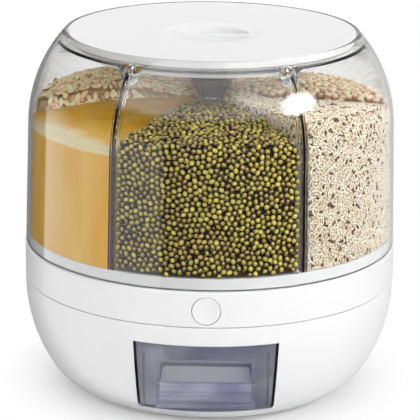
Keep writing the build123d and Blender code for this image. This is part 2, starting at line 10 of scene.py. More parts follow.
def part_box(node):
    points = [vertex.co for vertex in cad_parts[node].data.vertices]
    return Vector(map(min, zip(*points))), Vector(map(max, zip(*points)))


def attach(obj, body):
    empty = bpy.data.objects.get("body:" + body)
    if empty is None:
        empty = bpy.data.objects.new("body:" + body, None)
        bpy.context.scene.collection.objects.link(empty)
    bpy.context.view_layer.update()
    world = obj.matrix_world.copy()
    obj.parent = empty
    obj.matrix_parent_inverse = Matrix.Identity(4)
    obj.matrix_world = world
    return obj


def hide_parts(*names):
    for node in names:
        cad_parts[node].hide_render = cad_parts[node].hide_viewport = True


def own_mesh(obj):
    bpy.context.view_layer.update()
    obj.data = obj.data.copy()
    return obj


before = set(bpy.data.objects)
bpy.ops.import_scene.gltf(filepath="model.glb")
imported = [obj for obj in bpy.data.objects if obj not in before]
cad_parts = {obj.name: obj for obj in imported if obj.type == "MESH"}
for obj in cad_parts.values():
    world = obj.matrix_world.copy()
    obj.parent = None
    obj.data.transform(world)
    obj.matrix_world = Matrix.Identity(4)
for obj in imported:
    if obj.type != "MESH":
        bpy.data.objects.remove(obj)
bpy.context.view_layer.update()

# The looks of a rotating grain dispenser: a clear divided barrel on a white
# base, with a push button and a smoked drawer. Metres, +Z up, front towards -Y.

bl_info = {
    "name": "Rotating grain dispenser",
    "version": (1, 0, 0),
    "blender": (4, 5, 0),
    "location": "View3D > Sidebar > Dispenser",
    "description": "Makes the finished pieces of a rotating grain dispenser round its packed frame",
    "category": "Add Mesh",
}


def length(default, name, description):
    """A size in metres."""
    return FloatProperty(name=name, description=description, default=default, min=0, precision=4,
                         unit="LENGTH")


def colour(default, name, description):
    """A colour as light returned, red, green and blue."""
    return FloatVectorProperty(name=name, description=description, default=default, size=3, min=0,
                               max=1, subtype="COLOR")


class DispenserSizes(bpy.types.PropertyGroup):
    """Sizes of the pieces that are made again for their looks."""

    body_r: length(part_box("base_bowl")[1].x, "Body radius", "Outside radius of the base")
    base_wall: length(0.0026, "Base wall", "Wall of the white housings")
    foot_h: length(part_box("rubber_feet")[1].z, "Foot height", "Height of the rubber feet")
    boss_circle_r: length(0.1, "Screw circle", "Radius of the circle on which the base screws stand")
    boss_r: length(0.005, "Screw boss", "Radius of the bosses that hold the base screws")
    screw_hole_r: length(0.0021, "Screw hole", "Radius of the holes for the base screws")
    fit_gap: length(0.0003, "Fit gap", "Gap between pieces that fit in each other")
    lap_h: length(0.007, "Lap height", "How far the upper housing reaches into the lower one")
    lap_t: length(0.0022, "Lap thickness", "Thickness of the lap between the housings")
    lap_step_h: length(0.006, "Lap step", "From the seam to where the lap widens")
    deck_hole_r: length(0.0062, "Pivot hole", "Radius of the hole for the pivot post")
    slot_half: length(0.022, "Outlet half width", "Half the width of the outlets")
    slot_len: length(0.010, "Outlet length", "Length of the outlet in the deck")
    slot_y: length(0.096, "Outlet place", "From the axis to the middle of the outlets")
    cut_depth: length(0.0655, "Window depth", "Depth of the drawer's window")
    bowl_h: length(0.091, "Bowl height", "Height where the bowl's side stands upright")
    bowl_flare: length(0.0585, "Bowl flare", "From the flat of the bowl's foot out to its side")
    bowl_side_r: length(0.130, "Bowl side radius", "Radius of the bowl's upper curve")
    seam_z: length(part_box("base_bowl")[1].z, "Seam height", "Top edge of the bowl")
    seam_gap: length(0.0006, "Seam gap", "Gap between the two housings")
    deck_z: length(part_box("base_top")[1].z, "Deck height", "Top of the base")
    deck_t: length(0.003, "Deck thickness", "Thickness of the deck")
    button_z: length(0.1083, "Button height", "Height of the button's middle")
    button_r: length(0.0112, "Button radius", "Radius of the push button")
    button_gap: length(0.0005, "Button gap", "Gap round the button")
    button_dish: length(0.0015, "Button dish", "Depth of the button's hollow face")
    button_len: length(0.015, "Button length", "Length of the button's skirt")
    drawer_top_z: length(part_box("drawer")[1].z, "Drawer top", "Top edge of the drawer front")
    drawer_low_z: length(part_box("drawer")[0].z, "Drawer foot", "Lower edge of the drawer front")
    drawer_top_half: length(0.0557, "Drawer half width at the top", "Half the top edge")
    drawer_low_half: length(0.0526, "Drawer half width at the foot", "Half the lower edge")
    drawer_side_gap: length(0.0024, "Drawer side gap", "Gap at each side of the drawer")
    drawer_end_gap: length(0.0008, "Drawer end gap", "Gap above and under the drawer")
    drawer_corner_r: length(0.0025, "Drawer corner", "Radius of the drawer's lower corners")
    drawer_wall: length(0.0022, "Drawer wall", "Wall of the tray")
    panel_t: length(0.0028, "Drawer front wall", "Wall of the drawer's front")
    tray_half: length(0.0505, "Tray half width", "Half the tray's width")
    tray_low_z: length(0.016, "Tray underside", "Underside of the tray")
    tray_top_z: length(0.071, "Tray top", "Top edge of the tray")
    pocket_half: length(0.0365, "Pocket half width", "Half the finger pocket's width")
    pocket_floor_z: length(0.030, "Pocket floor", "Height of the finger pocket's floor")
    pocket_back_depth: length(0.031, "Pocket depth", "From the front of the base to the pocket's back")
    pocket_back_z: length(0.0528, "Pocket back height", "Top of the pocket's back wall")
    pocket_mouth_z: length(0.067, "Pocket mouth", "Top of the pocket at the drawer's front")
    lip_half: length(0.0395, "Lip half width", "Half the width of the lip")
    lip_depth: length(0.0075, "Lip depth", "From the front of the base to the lip's face")
    lip_top_z: length(0.0457, "Lip top", "Top edge of the lip")
    lip_low_z: length(0.024, "Lip foot", "Lower edge of the lip")
    groove_half: length(0.0355, "Groove half width", "Half the width of the grooves in the lip")
    groove_h: length(0.0011, "Groove height", "Height of the grooves in the lip")
    groove_depth: length(0.0013, "Groove depth", "Depth of the grooves in the lip")
    groove_top_z: length(0.0352, "Upper groove", "Height of the upper groove")
    groove_low_z: length(0.0294, "Lower groove", "Height of the lower groove")
    barrel_r: length(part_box("barrel_shell")[1].x, "Barrel radius", "Outside radius of the clear barrel")
    barrel_wall: length(0.0028, "Barrel wall", "Wall of the clear barrel")
    barrel_z: length(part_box("barrel_shell")[0].z, "Barrel foot", "Lower edge of the clear barrel")
    shoulder_z: length(0.2263, "Shoulder height", "Height where the round shoulder starts")
    shoulder_start_r: length(0.1523, "Shoulder start radius", "Barrel radius where the shoulder starts")
    shoulder_r: length(0.1145, "Shoulder radius", "Radius of the round shoulder")
    rim_z: length(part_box("barrel_shell")[1].z, "Rim height", "Top of the barrel's rim")
    rim_t: length(0.002, "Rim wall", "Wall of the barrel's rim")
    ledge_z: length(0.292, "Ledge height", "Underside of the lid's seat")
    ledge_t: length(0.0025, "Ledge thickness", "Thickness of the lid's seat")
    ledge_hole_r: length(0.1135, "Neck radius", "Radius of the opening inside the lid's seat")
    floor_low_z: length(0.125, "Floor underside", "Underside of the hopper floor")
    floor_rim_z: length(0.134, "Floor rim", "Top of the hopper floor's rim")
    floor_t: length(0.0026, "Floor thickness", "Thickness of the hopper floor")
    cone_z: length(0.1405, "Cone height", "Top of the hopper floor's cone")
    hub_r: length(0.0126, "Hub radius", "Radius of the hopper floor's hub")
    hub_z: length(0.150, "Hub height", "Top of the hopper floor's hub")
    divider_t: length(0.0024, "Divider thickness", "Thickness of the dividers")
    divider_gap: length(0.0004, "Divider gap", "Gap round the dividers")
    channel_t: length(0.0015, "Channel wall", "Wall of a divider's channel")
    channel_gap: length(0.0002, "Channel gap", "Gap between a divider and its channel")
    channel_depth: length(0.005, "Channel depth", "How far a channel stands in from the wall")
    flare_w: length(0.009, "Flare width", "Width of the flare under the neck")
    flare_h: length(0.015, "Flare height", "Height of the flare under the neck")
    column_r: length(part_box("centre_column")[1].x, "Cup radius", "Radius of the centre column's cup")
    lid_dish: length(0.0023, "Lid dish", "How far the lid's top sinks to its recess")
    recess_r: length(0.041, "Recess radius", "Radius of the recess in the lid")
    well_r: length(0.031, "Well radius", "Radius of the finger wells")
    well_z: length(0.285, "Well floor", "Height of the floor of the finger wells")
    grip_half: length(0.0022, "Grip half thickness", "Half the thickness of the grip")
    box_r: length(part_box("drying_box")[1].x, "Drying box radius", "Radius of the drying box")


class DispenserColours(bpy.types.PropertyGroup):
    """Colours of the finishes."""

    shell: colour((0.87, 0.87, 0.875), "Shell", "White housings and lid")
    clear: colour((0.985, 0.99, 0.99), "Barrel", "Clear plastic of the barrel")
    smoke: colour((0.78, 0.79, 0.85), "Drawer", "Smoked plastic of the drawer")
    smoke_blue: colour((0.50, 0.50, 0.66), "Drawer blue", "Bluer parts of the drawer's plastic")
    frost: colour((0.60, 0.60, 0.60), "Frosted parts", "Centre column and drying box")
    rubber: colour((0.55, 0.56, 0.57), "Rubber", "Feet and lid seal")
    steel: colour((0.62, 0.63, 0.65), "Steel", "Pivot, screws and spring")
    slide: colour((0.74, 0.74, 0.72), "Slide plastic", "Bush, cage and rollers")
    # Also the painted shade of the beans that lie behind the others
    mung_dark_and_shade: colour((0.018, 0.011, 0.004), "Dark mung", "Darkest mung beans")
    mung_brown: colour((0.220, 0.115, 0.026), "Brown mung", "Brown mung beans")
    mung: colour((0.330, 0.245, 0.022), "Mung", "Most mung beans")
    mung_light: colour((0.740, 0.600, 0.085), "Light mung", "Palest mung beans")
    corn: colour((0.98, 0.64, 0.14), "Cornmeal", "Ground corn")
    corn_deep: colour((0.96, 0.47, 0.01), "Deep cornmeal", "Oilier ground corn")
    # Painted sheen: a pale colour laid on the top of the cornmeal near the wall, in place of light
    corn_painted_sheen: colour((1.0, 0.92, 0.62), "Pale cornmeal", "Finest ground corn, near the wall")
    rice: colour((0.84, 0.64, 0.42), "Rice", "Most grains of brown rice")
    rice_light: colour((1.0, 0.93, 0.78), "Light rice", "Palest grains of rice")
    rice_dark: colour((0.15, 0.075, 0.03), "Dark rice", "Dark grains among the rice")
    soy: colour((1.0, 0.78, 0.54), "Soy", "Soya beans")
    seed: colour((1.0, 0.70, 0.43), "Seed", "Large seeds")
    lentil: colour((0.80, 0.52, 0.28), "Lentil", "Red lentils")
    floor: colour((0.86, 0.86, 0.86), "Floor", "The floor under the dispenser")


class Value:
    """A shader socket that takes plain arithmetic."""

    def __init__(self, finish, socket):
        self.finish = finish
        self.socket = socket

    def maths(self, operation, *others):
        values = {number: value for number, value in enumerate((self, *others))}
        return self.finish.node("ShaderNodeMath", {"operation": operation}, values)

    def __add__(self, other):
        return self.maths("ADD", other)

    __radd__ = __add__

    def __mul__(self, other):
        return self.maths("MULTIPLY", other)

    __rmul__ = __mul__

    def __sub__(self, other):
        return self.maths("SUBTRACT", other)

    def __rsub__(self, other):
        return (self * -1) + other

    def __pow__(self, other):
        return self.maths("POWER", other)

    def clamped(self):
        return self.maths("MAXIMUM", 0).maths("MINIMUM", 1)


class Finish:
    """One material, or the world, built node by node."""

    def __init__(self, name, holder=None, output="ShaderNodeOutputMaterial"):
        self.material = holder or bpy.data.materials.new(name)
        self.material.use_nodes = True
        self.tree = self.material.node_tree
        self.tree.nodes.clear()
        self.output = self.tree.nodes.new(output)

    def node(self, kind, settings=None, values=None, result=0):
        """Adds a node, sets it up, fills its sockets and returns one output."""
        made = self.tree.nodes.new(kind)
        for name, setting in (settings or {}).items():
            if name == "stops":
                ramp = made.color_ramp
                ramp.elements[0].position = setting[0][0]
                ramp.elements[1].position = setting[-1][0]
                for position, shade in setting[1:-1]:
                    ramp.elements.new(position)
                placed = sorted(ramp.elements, key=lambda element: element.position)
                for element, (position, shade) in zip(placed, setting):
                    element.color = (*shade, 1)
            else:
                setattr(made, name, setting)
        for name, value in (values or {}).items():
            self.fill(made.inputs[name], value)
        return Value(self, made.outputs[result])

    def fill(self, socket, value):
        """Links a value to a socket, or writes a plain number or colour on it."""
        if isinstance(value, Value):
            self.tree.links.new(value.socket, socket)
        elif socket.type == "RGBA" and len(value) == 3:
            socket.default_value = (*value, 1)
        else:
            socket.default_value = value

    def place(self):
        return self.node("ShaderNodeTexCoord", result="Object")

    def mottle(self, scale, detail=3.0, stretch=(1, 1, 1)):
        """Soft noise in the object's own space, about one cycle in 1 / scale metres."""
        at = self.place()
        if stretch != (1, 1, 1):
            at = self.node("ShaderNodeMapping", values={"Vector": at, "Scale": stretch})
        return self.node("ShaderNodeTexNoise", values={"Vector": at, "Scale": scale, "Detail": detail})

    def bump(self, height, strength, distance):
        return self.node("ShaderNodeBump", values={"Height": height, "Strength": strength,
                                                   "Distance": distance})

    def blend(self, share, first, second):
        """Mixes two colours by a share from 0 to 1."""
        return self.node("ShaderNodeMix", {"data_type": "RGBA"},
                         {"Factor": share, 6: first, 7: second}, result=2)

    def own(self, label):
        """A number that the mesh holds at each of its points."""
        return self.node("ShaderNodeAttribute", {"attribute_name": label}, result="Fac")

    def part(self, vector, axis):
        """One of the three numbers of a vector."""
        return self.node("ShaderNodeSeparateXYZ", values={"Vector": vector}, result=axis)

    def along(self, vector, way):
        """How far a vector reaches along a way."""
        return self.node("ShaderNodeVectorMath", {"operation": "DOT_PRODUCT"}, {0: vector, 1: way}, result=1)

    def ray(self, kind):
        return self.node("ShaderNodeLightPath", result=kind)

    def once_mirrored(self):
        """1 for a ray that has been mirrored once, and 0 for others."""
        times = self.ray("Glossy Depth")
        return times.clamped() * (2 - times).clamped()

    def either(self, share, first, second):
        """Mixes two surfaces by a share from 0 to 1."""
        return self.node("ShaderNodeMixShader", values={0: share, 1: first, 2: second})

    def lamps_through(self, surface, tint):
        """A clear surface that lets lamps through to what it holds, and tints their light."""
        open_way = self.node("ShaderNodeBsdfTransparent", values={"Color": tint})
        return self.either(self.ray("Is Shadow Ray"), surface, open_way)

    def skin(self, **sockets):
        """The main shader. Socket names are given with underscores for spaces."""
        values = {name.replace("_", " "): value for name, value in sockets.items()}
        return self.node("ShaderNodeBsdfPrincipled", values=values)

    def done(self, surface):
        self.tree.links.new(surface.socket, self.output.inputs["Surface"])
        return self.material


def finish(slot):
    """Marks a maker of a material with its slot, if it has one.

    The material is made once, when it is first used."""
    def kept(maker):
        made = []

        def ask():
            if not made:
                made.append(maker(bpy.context.scene.dispenser_colours))
            return made[0]

        ask.slot = slot
        return ask
    return kept


@finish("white_shell")
def white_shell(tint):
    """Moulded glossy white plastic with a very fine grain."""
    made = Finish("glossy_white")
    cloud = made.mottle(14, 2)
    grain = made.mottle(2600, 2)
    shade = [c * 0.985 for c in tint.shell]
    return made.done(made.skin(
        Base_Color=made.blend(cloud, shade, list(tint.shell)),
        Roughness=0.24 + 0.08 * cloud + 0.03 * grain,
        Normal=made.bump(grain, 0.05, 0.0002), Coat_Weight=0.15, Coat_Roughness=0.12))


def clear_plastic(name, tint, pass_through, roughness, ripple, clearness=1.0):
    """Clear moulded plastic, a little wavy and hazy."""
    made = Finish(name)
    wave = made.mottle(9, 1)
    haze = made.mottle(90, 3)
    glass = made.skin(Base_Color=tint, Roughness=roughness + roughness * haze,
                      Transmission_Weight=clearness, IOR=1.49, Normal=made.bump(wave, ripple, 0.002))
    return made.done(made.lamps_through(glass, pass_through))


@finish("clear_barrel")
def clear_barrel(tint):
    return clear_plastic("clear_plastic", list(tint.clear), (0.97, 0.97, 0.97), 0.006, 0.05)


@finish("smoked_drawer")
def smoked_drawer(tint):
    """Smoked plastic in uneven grey and blue, etched at the back of the finger pocket."""
    made = Finish("smoked_plastic")
    cloud = ((made.mottle(22, 1, (1, 1, 1.6)) - 0.38) * 4).clamped()
    smoke = made.blend(cloud, list(tint.smoke), list(tint.smoke_blue))
    glass = made.skin(Base_Color=smoke, Roughness=0.02 + 0.03 * made.mottle(90, 3),
                      Transmission_Weight=0.82, IOR=1.49, Normal=made.bump(made.mottle(9, 1), 0.05, 0.002))
    etched = made.skin(Base_Color=(0.68, 0.68, 0.69), Roughness=0.4,
                       Normal=made.bump(made.mottle(1500, 2), 0.1, 0.0002))
    # The etched part: the back wall of the finger pocket, with a soft edge a quarter of a millimetre wide
    half_w, wall_y, half_t = 0.0368, 0.1236, 0.0014
    low_z, top_z = 0.0300, 0.0530
    softness = 4000
    across, deep, up = (made.part(made.place(), axis) for axis in "XYZ")
    inside = ((half_w - across.maths("ABSOLUTE")) * softness).clamped()
    inside = inside * ((half_t - (deep + wall_y).maths("ABSOLUTE")) * softness).clamped()
    inside = inside * ((up - low_z) * softness).clamped() * ((top_z - up) * softness).clamped()
    return made.done(made.lamps_through(made.either(0.75 * inside, glass, etched), (0.85, 0.85, 0.90)))


@finish("frosted_parts")
def frosted_parts(tint):
    return clear_plastic("frosted_plastic", list(tint.frost), (0.9, 0.9, 0.92), 0.08, 0.1, 0.9)


@finish("soft_rubber")
def soft_rubber(tint):
    """Matt moulded rubber with dust in its pores."""
    made = Finish("matt_rubber")
    dust = made.mottle(300, 4)
    pores = made.mottle(3000, 2)
    return made.done(made.skin(
        Base_Color=made.blend(dust, [c * 0.85 for c in tint.rubber], list(tint.rubber)),
        Roughness=0.7 + 0.15 * dust, Normal=made.bump(pores, 0.2, 0.0002)))


@finish("bright_steel")
def bright_steel(tint):
    """Turned or drawn steel with fine tool marks."""
    made = Finish("turned_steel")
    marks = made.mottle(900, 3, (1, 1, 12))
    return made.done(made.skin(
        Base_Color=made.blend(marks, [c * 0.8 for c in tint.steel], list(tint.steel)),
        Metallic=1.0, Roughness=0.22 + 0.18 * marks, Normal=made.bump(marks, 0.08, 0.0001)))


@finish("slide_plastic")
def slide_plastic(tint):
    """Hard satin plastic of the bush, cage and rollers."""
    made = Finish("hard_plastic")
    cloud = made.mottle(120, 3)
    return made.done(made.skin(
        Base_Color=made.blend(cloud, [c * 0.93 for c in tint.slide], list(tint.slide)),
        Roughness=0.4 + 0.12 * cloud, Normal=made.bump(made.mottle(2200, 2), 0.08, 0.0002)))


def grain_finish(name, stops, roughness, spot_scale, spot_strength, gap, steep, shine=0.25, painted_highlight_share=0.0):
    """Beans or grains, each with its own tone and a fine mottling over its skin.

    It has the colour gap, a painted shade, where it lies back between the others, and clears up towards its
    outermost point as steep says.
    Where its skin reaches out most, a little above its outermost point, it is paler: a painted highlight of a
    given share."""
    made = Finish(name)
    spots = made.mottle(spot_scale, 2)
    mixed = (made.own("tone") + spot_strength * (spots - 0.5)).clamped()
    skin = made.node("ShaderNodeValToRGB", {"stops": stops}, {"Fac": mixed})
    # Painted highlight: a pale spot where each bean reaches out most, a little above its outermost point
    if painted_highlight_share:
        skin = made.blend(painted_highlight_share * ((made.own("bulge") - 0.76) * 5).clamped(), skin, (0.84, 0.75, 0.30))
    # Painted shade: each grain darkens to the colour gap where it lies back between the others
    return made.done(made.skin(
        Base_Color=made.blend(((made.own("rise") - 0.08) * steep).clamped(), gap, skin),
        Roughness=roughness + 0.15 * spots, Specular_IOR_Level=shine,
        Normal=made.bump(spots, 0.15, 0.0003)))


# In the grains below, gap is the colour of the painted shade between them
@finish(None)
def mung_beans(tint):
    stops = [(0.05, list(tint.mung_dark_and_shade)), (0.28, list(tint.mung_brown)), (0.5, list(tint.mung)),
             (0.9, list(tint.mung_light))]
    return grain_finish("mung_beans", stops, 0.14, 500, 0.2, gap=(0.010, 0.006, 0.001), steep=1.45,
                        shine=0.8, painted_highlight_share=0.5)


@finish(None)
def brown_rice(tint):
    dark = list(tint.rice_dark)
    stops = [(0, dark), (0.12, dark), (0.2, list(tint.rice)), (0.7, list(tint.rice_light))]
    return grain_finish("brown_rice", stops, 0.45, 700, 0.1, gap=(0.52, 0.36, 0.20), steep=3)


@finish(None)
def soya_beans(tint):
    shade = [c * 0.7 for c in tint.soy]
    light = [min(1, c * 1.2) for c in tint.soy]
    stops = [(0, (0.06, 0.03, 0.015)), (0.1, shade), (0.5, list(tint.soy)), (1, light)]
    return grain_finish("soya_beans", stops, 0.38, 300, 0.3, gap=(0.45, 0.22, 0.09), steep=1.8)


@finish(None)
def large_seeds(tint):
    shade = [c * 0.6 for c in tint.seed]
    light = [min(1, c * 1.5) for c in tint.seed]
    stops = [(0, (0.04, 0.02, 0.01)), (0.1, shade), (0.35, list(tint.seed)), (1, light)]
    return grain_finish("large_seeds", stops, 0.5, 600, 0.4, gap=(0.36, 0.17, 0.04), steep=2.4)


@finish(None)
def red_lentils(tint):
    shade = [c * 0.6 for c in tint.lentil]
    light = [min(1, c * 1.3) for c in tint.lentil]
    stops = [(0, shade), (0.5, list(tint.lentil)), (1, light)]
    return grain_finish("red_lentils", stops, 0.5, 400, 0.3, gap=(0.25, 0.13, 0.05), steep=2)


@finish(None)
def ground_corn(tint):
    """Ground corn: fine uneven crumbs, in streaks along the wall, and a painted pale sheen near the rim of
    the heap.
    """
    made = Finish("ground_corn")
    crumbs = made.mottle(1500, 4)
    streaks = ((made.mottle(34, 3, (1, 1, 0.25)) - 0.36) * 3.2).clamped()
    specks = ((made.mottle(620, 2) - 0.66) * 14).clamped()
    # Painted sheen: a pale band on the heap's top where it comes near the wall, on one side
    sheen_turn, sheen_from, sheen_z = radians(-144), 0.133, 0.2255
    out = made.along(made.place(), (cos(sheen_turn), sin(sheen_turn), 0))
    up = made.part(made.place(), "Z")
    pale = ((out - sheen_from + 0.014 * made.mottle(60, 3)) * 90).clamped()
    pale = pale * ((up - sheen_z) * 500).clamped()
    shade = made.blend(streaks, list(tint.corn_deep), list(tint.corn))
    shade = made.blend(pale * 0.95, shade, list(tint.corn_painted_sheen))
    shade = made.blend(crumbs * 0.5, shade, [c * 0.62 for c in tint.corn])
    shade = made.blend(specks * 0.6, shade, [c * 0.25 for c in tint.corn])
    return made.done(made.skin(Base_Color=shade, Roughness=0.75 + 0.15 * crumbs, Specular_IOR_Level=0.04,
                               Normal=made.bump(crumbs, 0.6, 0.0006)))


# Shapes: wires, bodies turned round an axis, prisms and the cuts between them

spin_steps = 192
round_steps = 4
weld = 1e-6


def arc(centre, radius, start, end, steps):
    """Points on a round stretch of an outline, angles in degrees."""
    turns = [radians(start + (end - start) * n / steps) for n in range(steps + 1)]
    return [(centre[0] + radius * cos(t), centre[1] + radius * sin(t)) for t in turns]


def wire(corners, closed=True):
    """A wire in the XZ plane through corners, each (across, up) or (across, up, rounding)."""
    bm = bmesh.new()
    verts = [bm.verts.new((corner[0], 0, corner[1])) for corner in corners]
    ends = verts[1:] + verts[:1] if closed else verts[1:]
    for first, second in zip(verts, ends):
        if max(abs(first.co.x), abs(second.co.x)) > weld:
            bm.edges.new((first, second))
    rounds = {vert: corner[2] for vert, corner in zip(verts, corners) if len(corner) > 2}
    for size in sorted(set(rounds.values())):
        bmesh.ops.bevel(bm, geom=[vert for vert, own in rounds.items() if own == size], offset=size,
                        offset_type="OFFSET", segments=round_steps, profile=0.5, affect="VERTICES",
                        material=-1, clamp_overlap=True)
    return bm


def close_up(bm):
    """Merges doubles and turns the faces outwards."""
    bmesh.ops.remove_doubles(bm, verts=bm.verts, dist=weld)
    bmesh.ops.recalc_face_normals(bm, faces=bm.faces)
    return bm


def turned(corners, steps=spin_steps, closed=True):
    """A body of revolution round Z, from its half section."""
    bm = wire(corners, closed)
    bmesh.ops.spin(bm, geom=bm.verts[:] + bm.edges[:], cent=(0, 0, 0), axis=(0, 0, 1), angle=2 * pi,
                   steps=steps, use_merge=True)
    return close_up(bm)


def prism(corners, axis, low, high):
    """A straight body of the outline given, from low to high along X, Y or Z.

    The outline's two numbers are X and Z along Y, Y and Z along X, and X and Y along Z."""
    bm = wire(corners)
    bmesh.ops.contextual_create(bm, geom=bm.edges[:])
    turn = {"X": Matrix(((0, -1, 0), (1, 0, 0), (0, 0, 1))), "Y": Matrix.Identity(3),
            "Z": Matrix(((1, 0, 0), (0, 0, 1), (0, -1, 0)))}[axis]
    along = Vector([1 if letter == axis else 0 for letter in "XYZ"])
    bmesh.ops.transform(bm, matrix=turn.to_4x4(), verts=bm.verts)
    bmesh.ops.translate(bm, vec=along * low, verts=bm.verts)
    grown = bmesh.ops.extrude_face_region(bm, geom=bm.faces[:])
    tops = [item for item in grown["geom"] if isinstance(item, bmesh.types.BMVert)]
    bmesh.ops.translate(bm, vec=along * (high - low), verts=tops)
    return close_up(bm)


def rod(radius, low, high, place=(0, 0), steps=64):
    """An upright rod at a place."""
    bm = turned([(0, low), (radius, low), (radius, high), (0, high)], steps)
    bmesh.ops.translate(bm, vec=(*place, 0), verts=bm.verts)
    return bm


def box(low, high):
    """A block between two corners."""
    bm = bmesh.new()
    bmesh.ops.create_cube(bm, size=1)
    middle = (Vector(low) + Vector(high)) / 2
    bmesh.ops.scale(bm, vec=Vector(high) - Vector(low), verts=bm.verts)
    bmesh.ops.translate(bm, vec=middle, verts=bm.verts)
    return bm


def laid(bm, height):
    """Lays a shape that stands round Z down along -Y, at a height."""
    bmesh.ops.rotate(bm, cent=(0, 0, 0), matrix=Matrix.Rotation(pi / 2, 3, "X"), verts=bm.verts)
    bmesh.ops.translate(bm, vec=(0, 0, height), verts=bm.verts)
    return bm


def bow(start, end, radius, steps=10):
    """Points on the outward arc between two ends of a quarter bend or less."""
    start, end = Vector(start), Vector(end)
    chord = end - start
    side = Vector((-chord.y, chord.x)).normalized()
    centre = (start + end) / 2 + side * sqrt(max(0, radius**2 - (chord.length / 2)**2))
    first = degrees(atan2(start.y - centre.y, start.x - centre.x))
    last = degrees(atan2(end.y - centre.y, end.x - centre.x))
    return arc(centre, radius, first, last, steps)


def rounded(bm, size, chosen, steps=3):
    """Rounds the edges that chosen picks."""
    edges = [edge for edge in bm.edges if chosen(edge)]
    bmesh.ops.bevel(bm, geom=edges, offset=size, offset_type="OFFSET", segments=steps, profile=0.5,
                    affect="EDGES", material=-1, clamp_overlap=True)
    return bm


def swung(bm, degrees_round):
    """Turns a shape round Z."""
    bmesh.ops.rotate(bm, cent=(0, 0, 0), matrix=Matrix.Rotation(radians(degrees_round), 3, "Z"),
                     verts=bm.verts)
    return bm


def move_into(bm, shape):
    """Adds a shape to another one and frees it."""
    held = bpy.data.meshes.new("held")
    shape.to_mesh(held)
    shape.free()
    bm.from_mesh(held)
    bpy.data.meshes.remove(held)


def gathered(shapes):
    """Puts several shapes that don't touch in one."""
    bm = bmesh.new()
    for shape in shapes:
        move_into(bm, shape)
    return bm


def combined(main, tool, operation="DIFFERENCE"):
    """The shape main, cut by tool, joined with it (UNION) or kept inside it (INTERSECT)."""
    held = []
    for shape in (main, tool):
        mesh = bpy.data.meshes.new("held")
        shape.to_mesh(mesh)
        shape.free()
        held.append(bpy.data.objects.new("held", mesh))
        bpy.context.scene.collection.objects.link(held[-1])
    cut = held[0].modifiers.new("cut", "BOOLEAN")
    cut.operation = operation
    cut.solver = "EXACT"
    cut.object = held[1]
    ready = held[0].evaluated_get(bpy.context.evaluated_depsgraph_get())
    bm = bmesh.new()
    bm.from_mesh(ready.data)
    for item in held:
        mesh = item.data
        bpy.data.objects.remove(item)
        bpy.data.meshes.remove(mesh)
    bmesh.ops.remove_doubles(bm, verts=bm.verts, dist=weld)
    return bm


def piece(name, bm, body, look, replaced=(), sharp=32):
    """Makes a finished piece of a shape: smooth, with sharp edges past an angle in degrees."""
    mesh = bpy.data.meshes.new(name)
    bm.to_mesh(mesh)
    bm.free()
    mesh.shade_smooth()
    mesh.set_sharp_from_angle(angle=radians(sharp))
    made = bpy.data.objects.new(name, mesh)
    bpy.context.scene.collection.objects.link(made)
    mesh.materials.append(look())
    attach(made, body)
    if replaced:
        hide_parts(*replaced)
        even = made.modifiers.new("normals", "WEIGHTED_NORMAL")
        even.keep_sharp = True
    return made


def dress(look, *nodes):
    """Gives CAD nodes a finish on their own slots."""
    for node in nodes:
        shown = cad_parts[node]
        shown.data.materials.clear()
        shown.data.materials.append(look())


# Outlines that several pieces share

def heel_radius(size):
    """Radius of the bowl's lower curve, which meets its side and its foot smoothly."""
    reach = size.bowl_flare - size.bowl_side_r
    return ((size.bowl_side_r**2 - size.bowl_h**2 - reach**2) / (2 * (size.bowl_side_r - size.bowl_h)))


def bowl_curve(size, inset, low_z):
    """The bowl's side and heel, moved in by inset, from its foot up."""
    heel = heel_radius(size)
    turn = degrees(asin((size.bowl_h - heel) / (size.bowl_side_r - heel)))
    drop = degrees(acos((heel - low_z) / (heel - inset)))
    lower = arc((size.body_r - size.bowl_flare, heel), heel - inset, drop - 90, -turn, 22)
    upper = arc((size.body_r - size.bowl_side_r, size.bowl_h), size.bowl_side_r - inset, -turn, 0, 14)
    return lower[:-1] + upper


def bowl_room(size, inset):
    """Everything inside the bowl's outline, moved in by inset, up to the seam."""
    low_z = size.foot_h + inset
    return turned([(0, low_z), *bowl_curve(size, inset, low_z), (size.body_r - inset, size.seam_z),
                   (0, size.seam_z)])


def draft(size):
    return atan((size.barrel_r - size.shoulder_start_r) / (size.shoulder_z - size.barrel_z))


def wall_r(size, z, inset=0):
    """Radius of the barrel's outline, moved in by inset, at height z."""
    lean = draft(size)
    if z <= size.shoulder_z - inset * sin(lean):
        return size.barrel_r - (z - size.barrel_z) * tan(lean) - inset / cos(lean)
    centre_r = size.shoulder_start_r - size.shoulder_r * cos(lean)
    centre_z = size.shoulder_z - size.shoulder_r * sin(lean)
    return centre_r + sqrt((size.shoulder_r - inset)**2 - (z - centre_z)**2)


def wall_curve(size, inset, low_z, high_z):
    """The barrel's side and shoulder, moved in by inset, from low_z up to high_z."""
    lean = draft(size)
    centre = (size.shoulder_start_r - size.shoulder_r * cos(lean),
              size.shoulder_z - size.shoulder_r * sin(lean))
    top = degrees(asin((high_z - centre[1]) / (size.shoulder_r - inset)))
    return [(wall_r(size, low_z, inset), low_z),
            *arc(centre, size.shoulder_r - inset, degrees(lean), top, 26)]


divider_angles = [60 * n for n in range(6)]
half_compartment = 30
half_turn = radians(half_compartment)
middle_z = 0.19

# The trough round the hopper floor, and the centre column from its foot to its cup
trough_in_r, trough_out_r = 0.080, 0.112
slope_out_r = 0.148
column_foot_r, column_neck_r = 0.015, 0.010
foot_top_z, neck_low_z = 0.166, 0.186
cup_low_z, cup_open_z, cup_top_z = 0.245, 0.255, 0.261


def screw_places(size):
    """The four places of the base screws."""
    return [(size.boss_circle_r * cos(radians(turn)), size.boss_circle_r * sin(radians(turn)))
            for turn in (45, 135, 225, 315)]


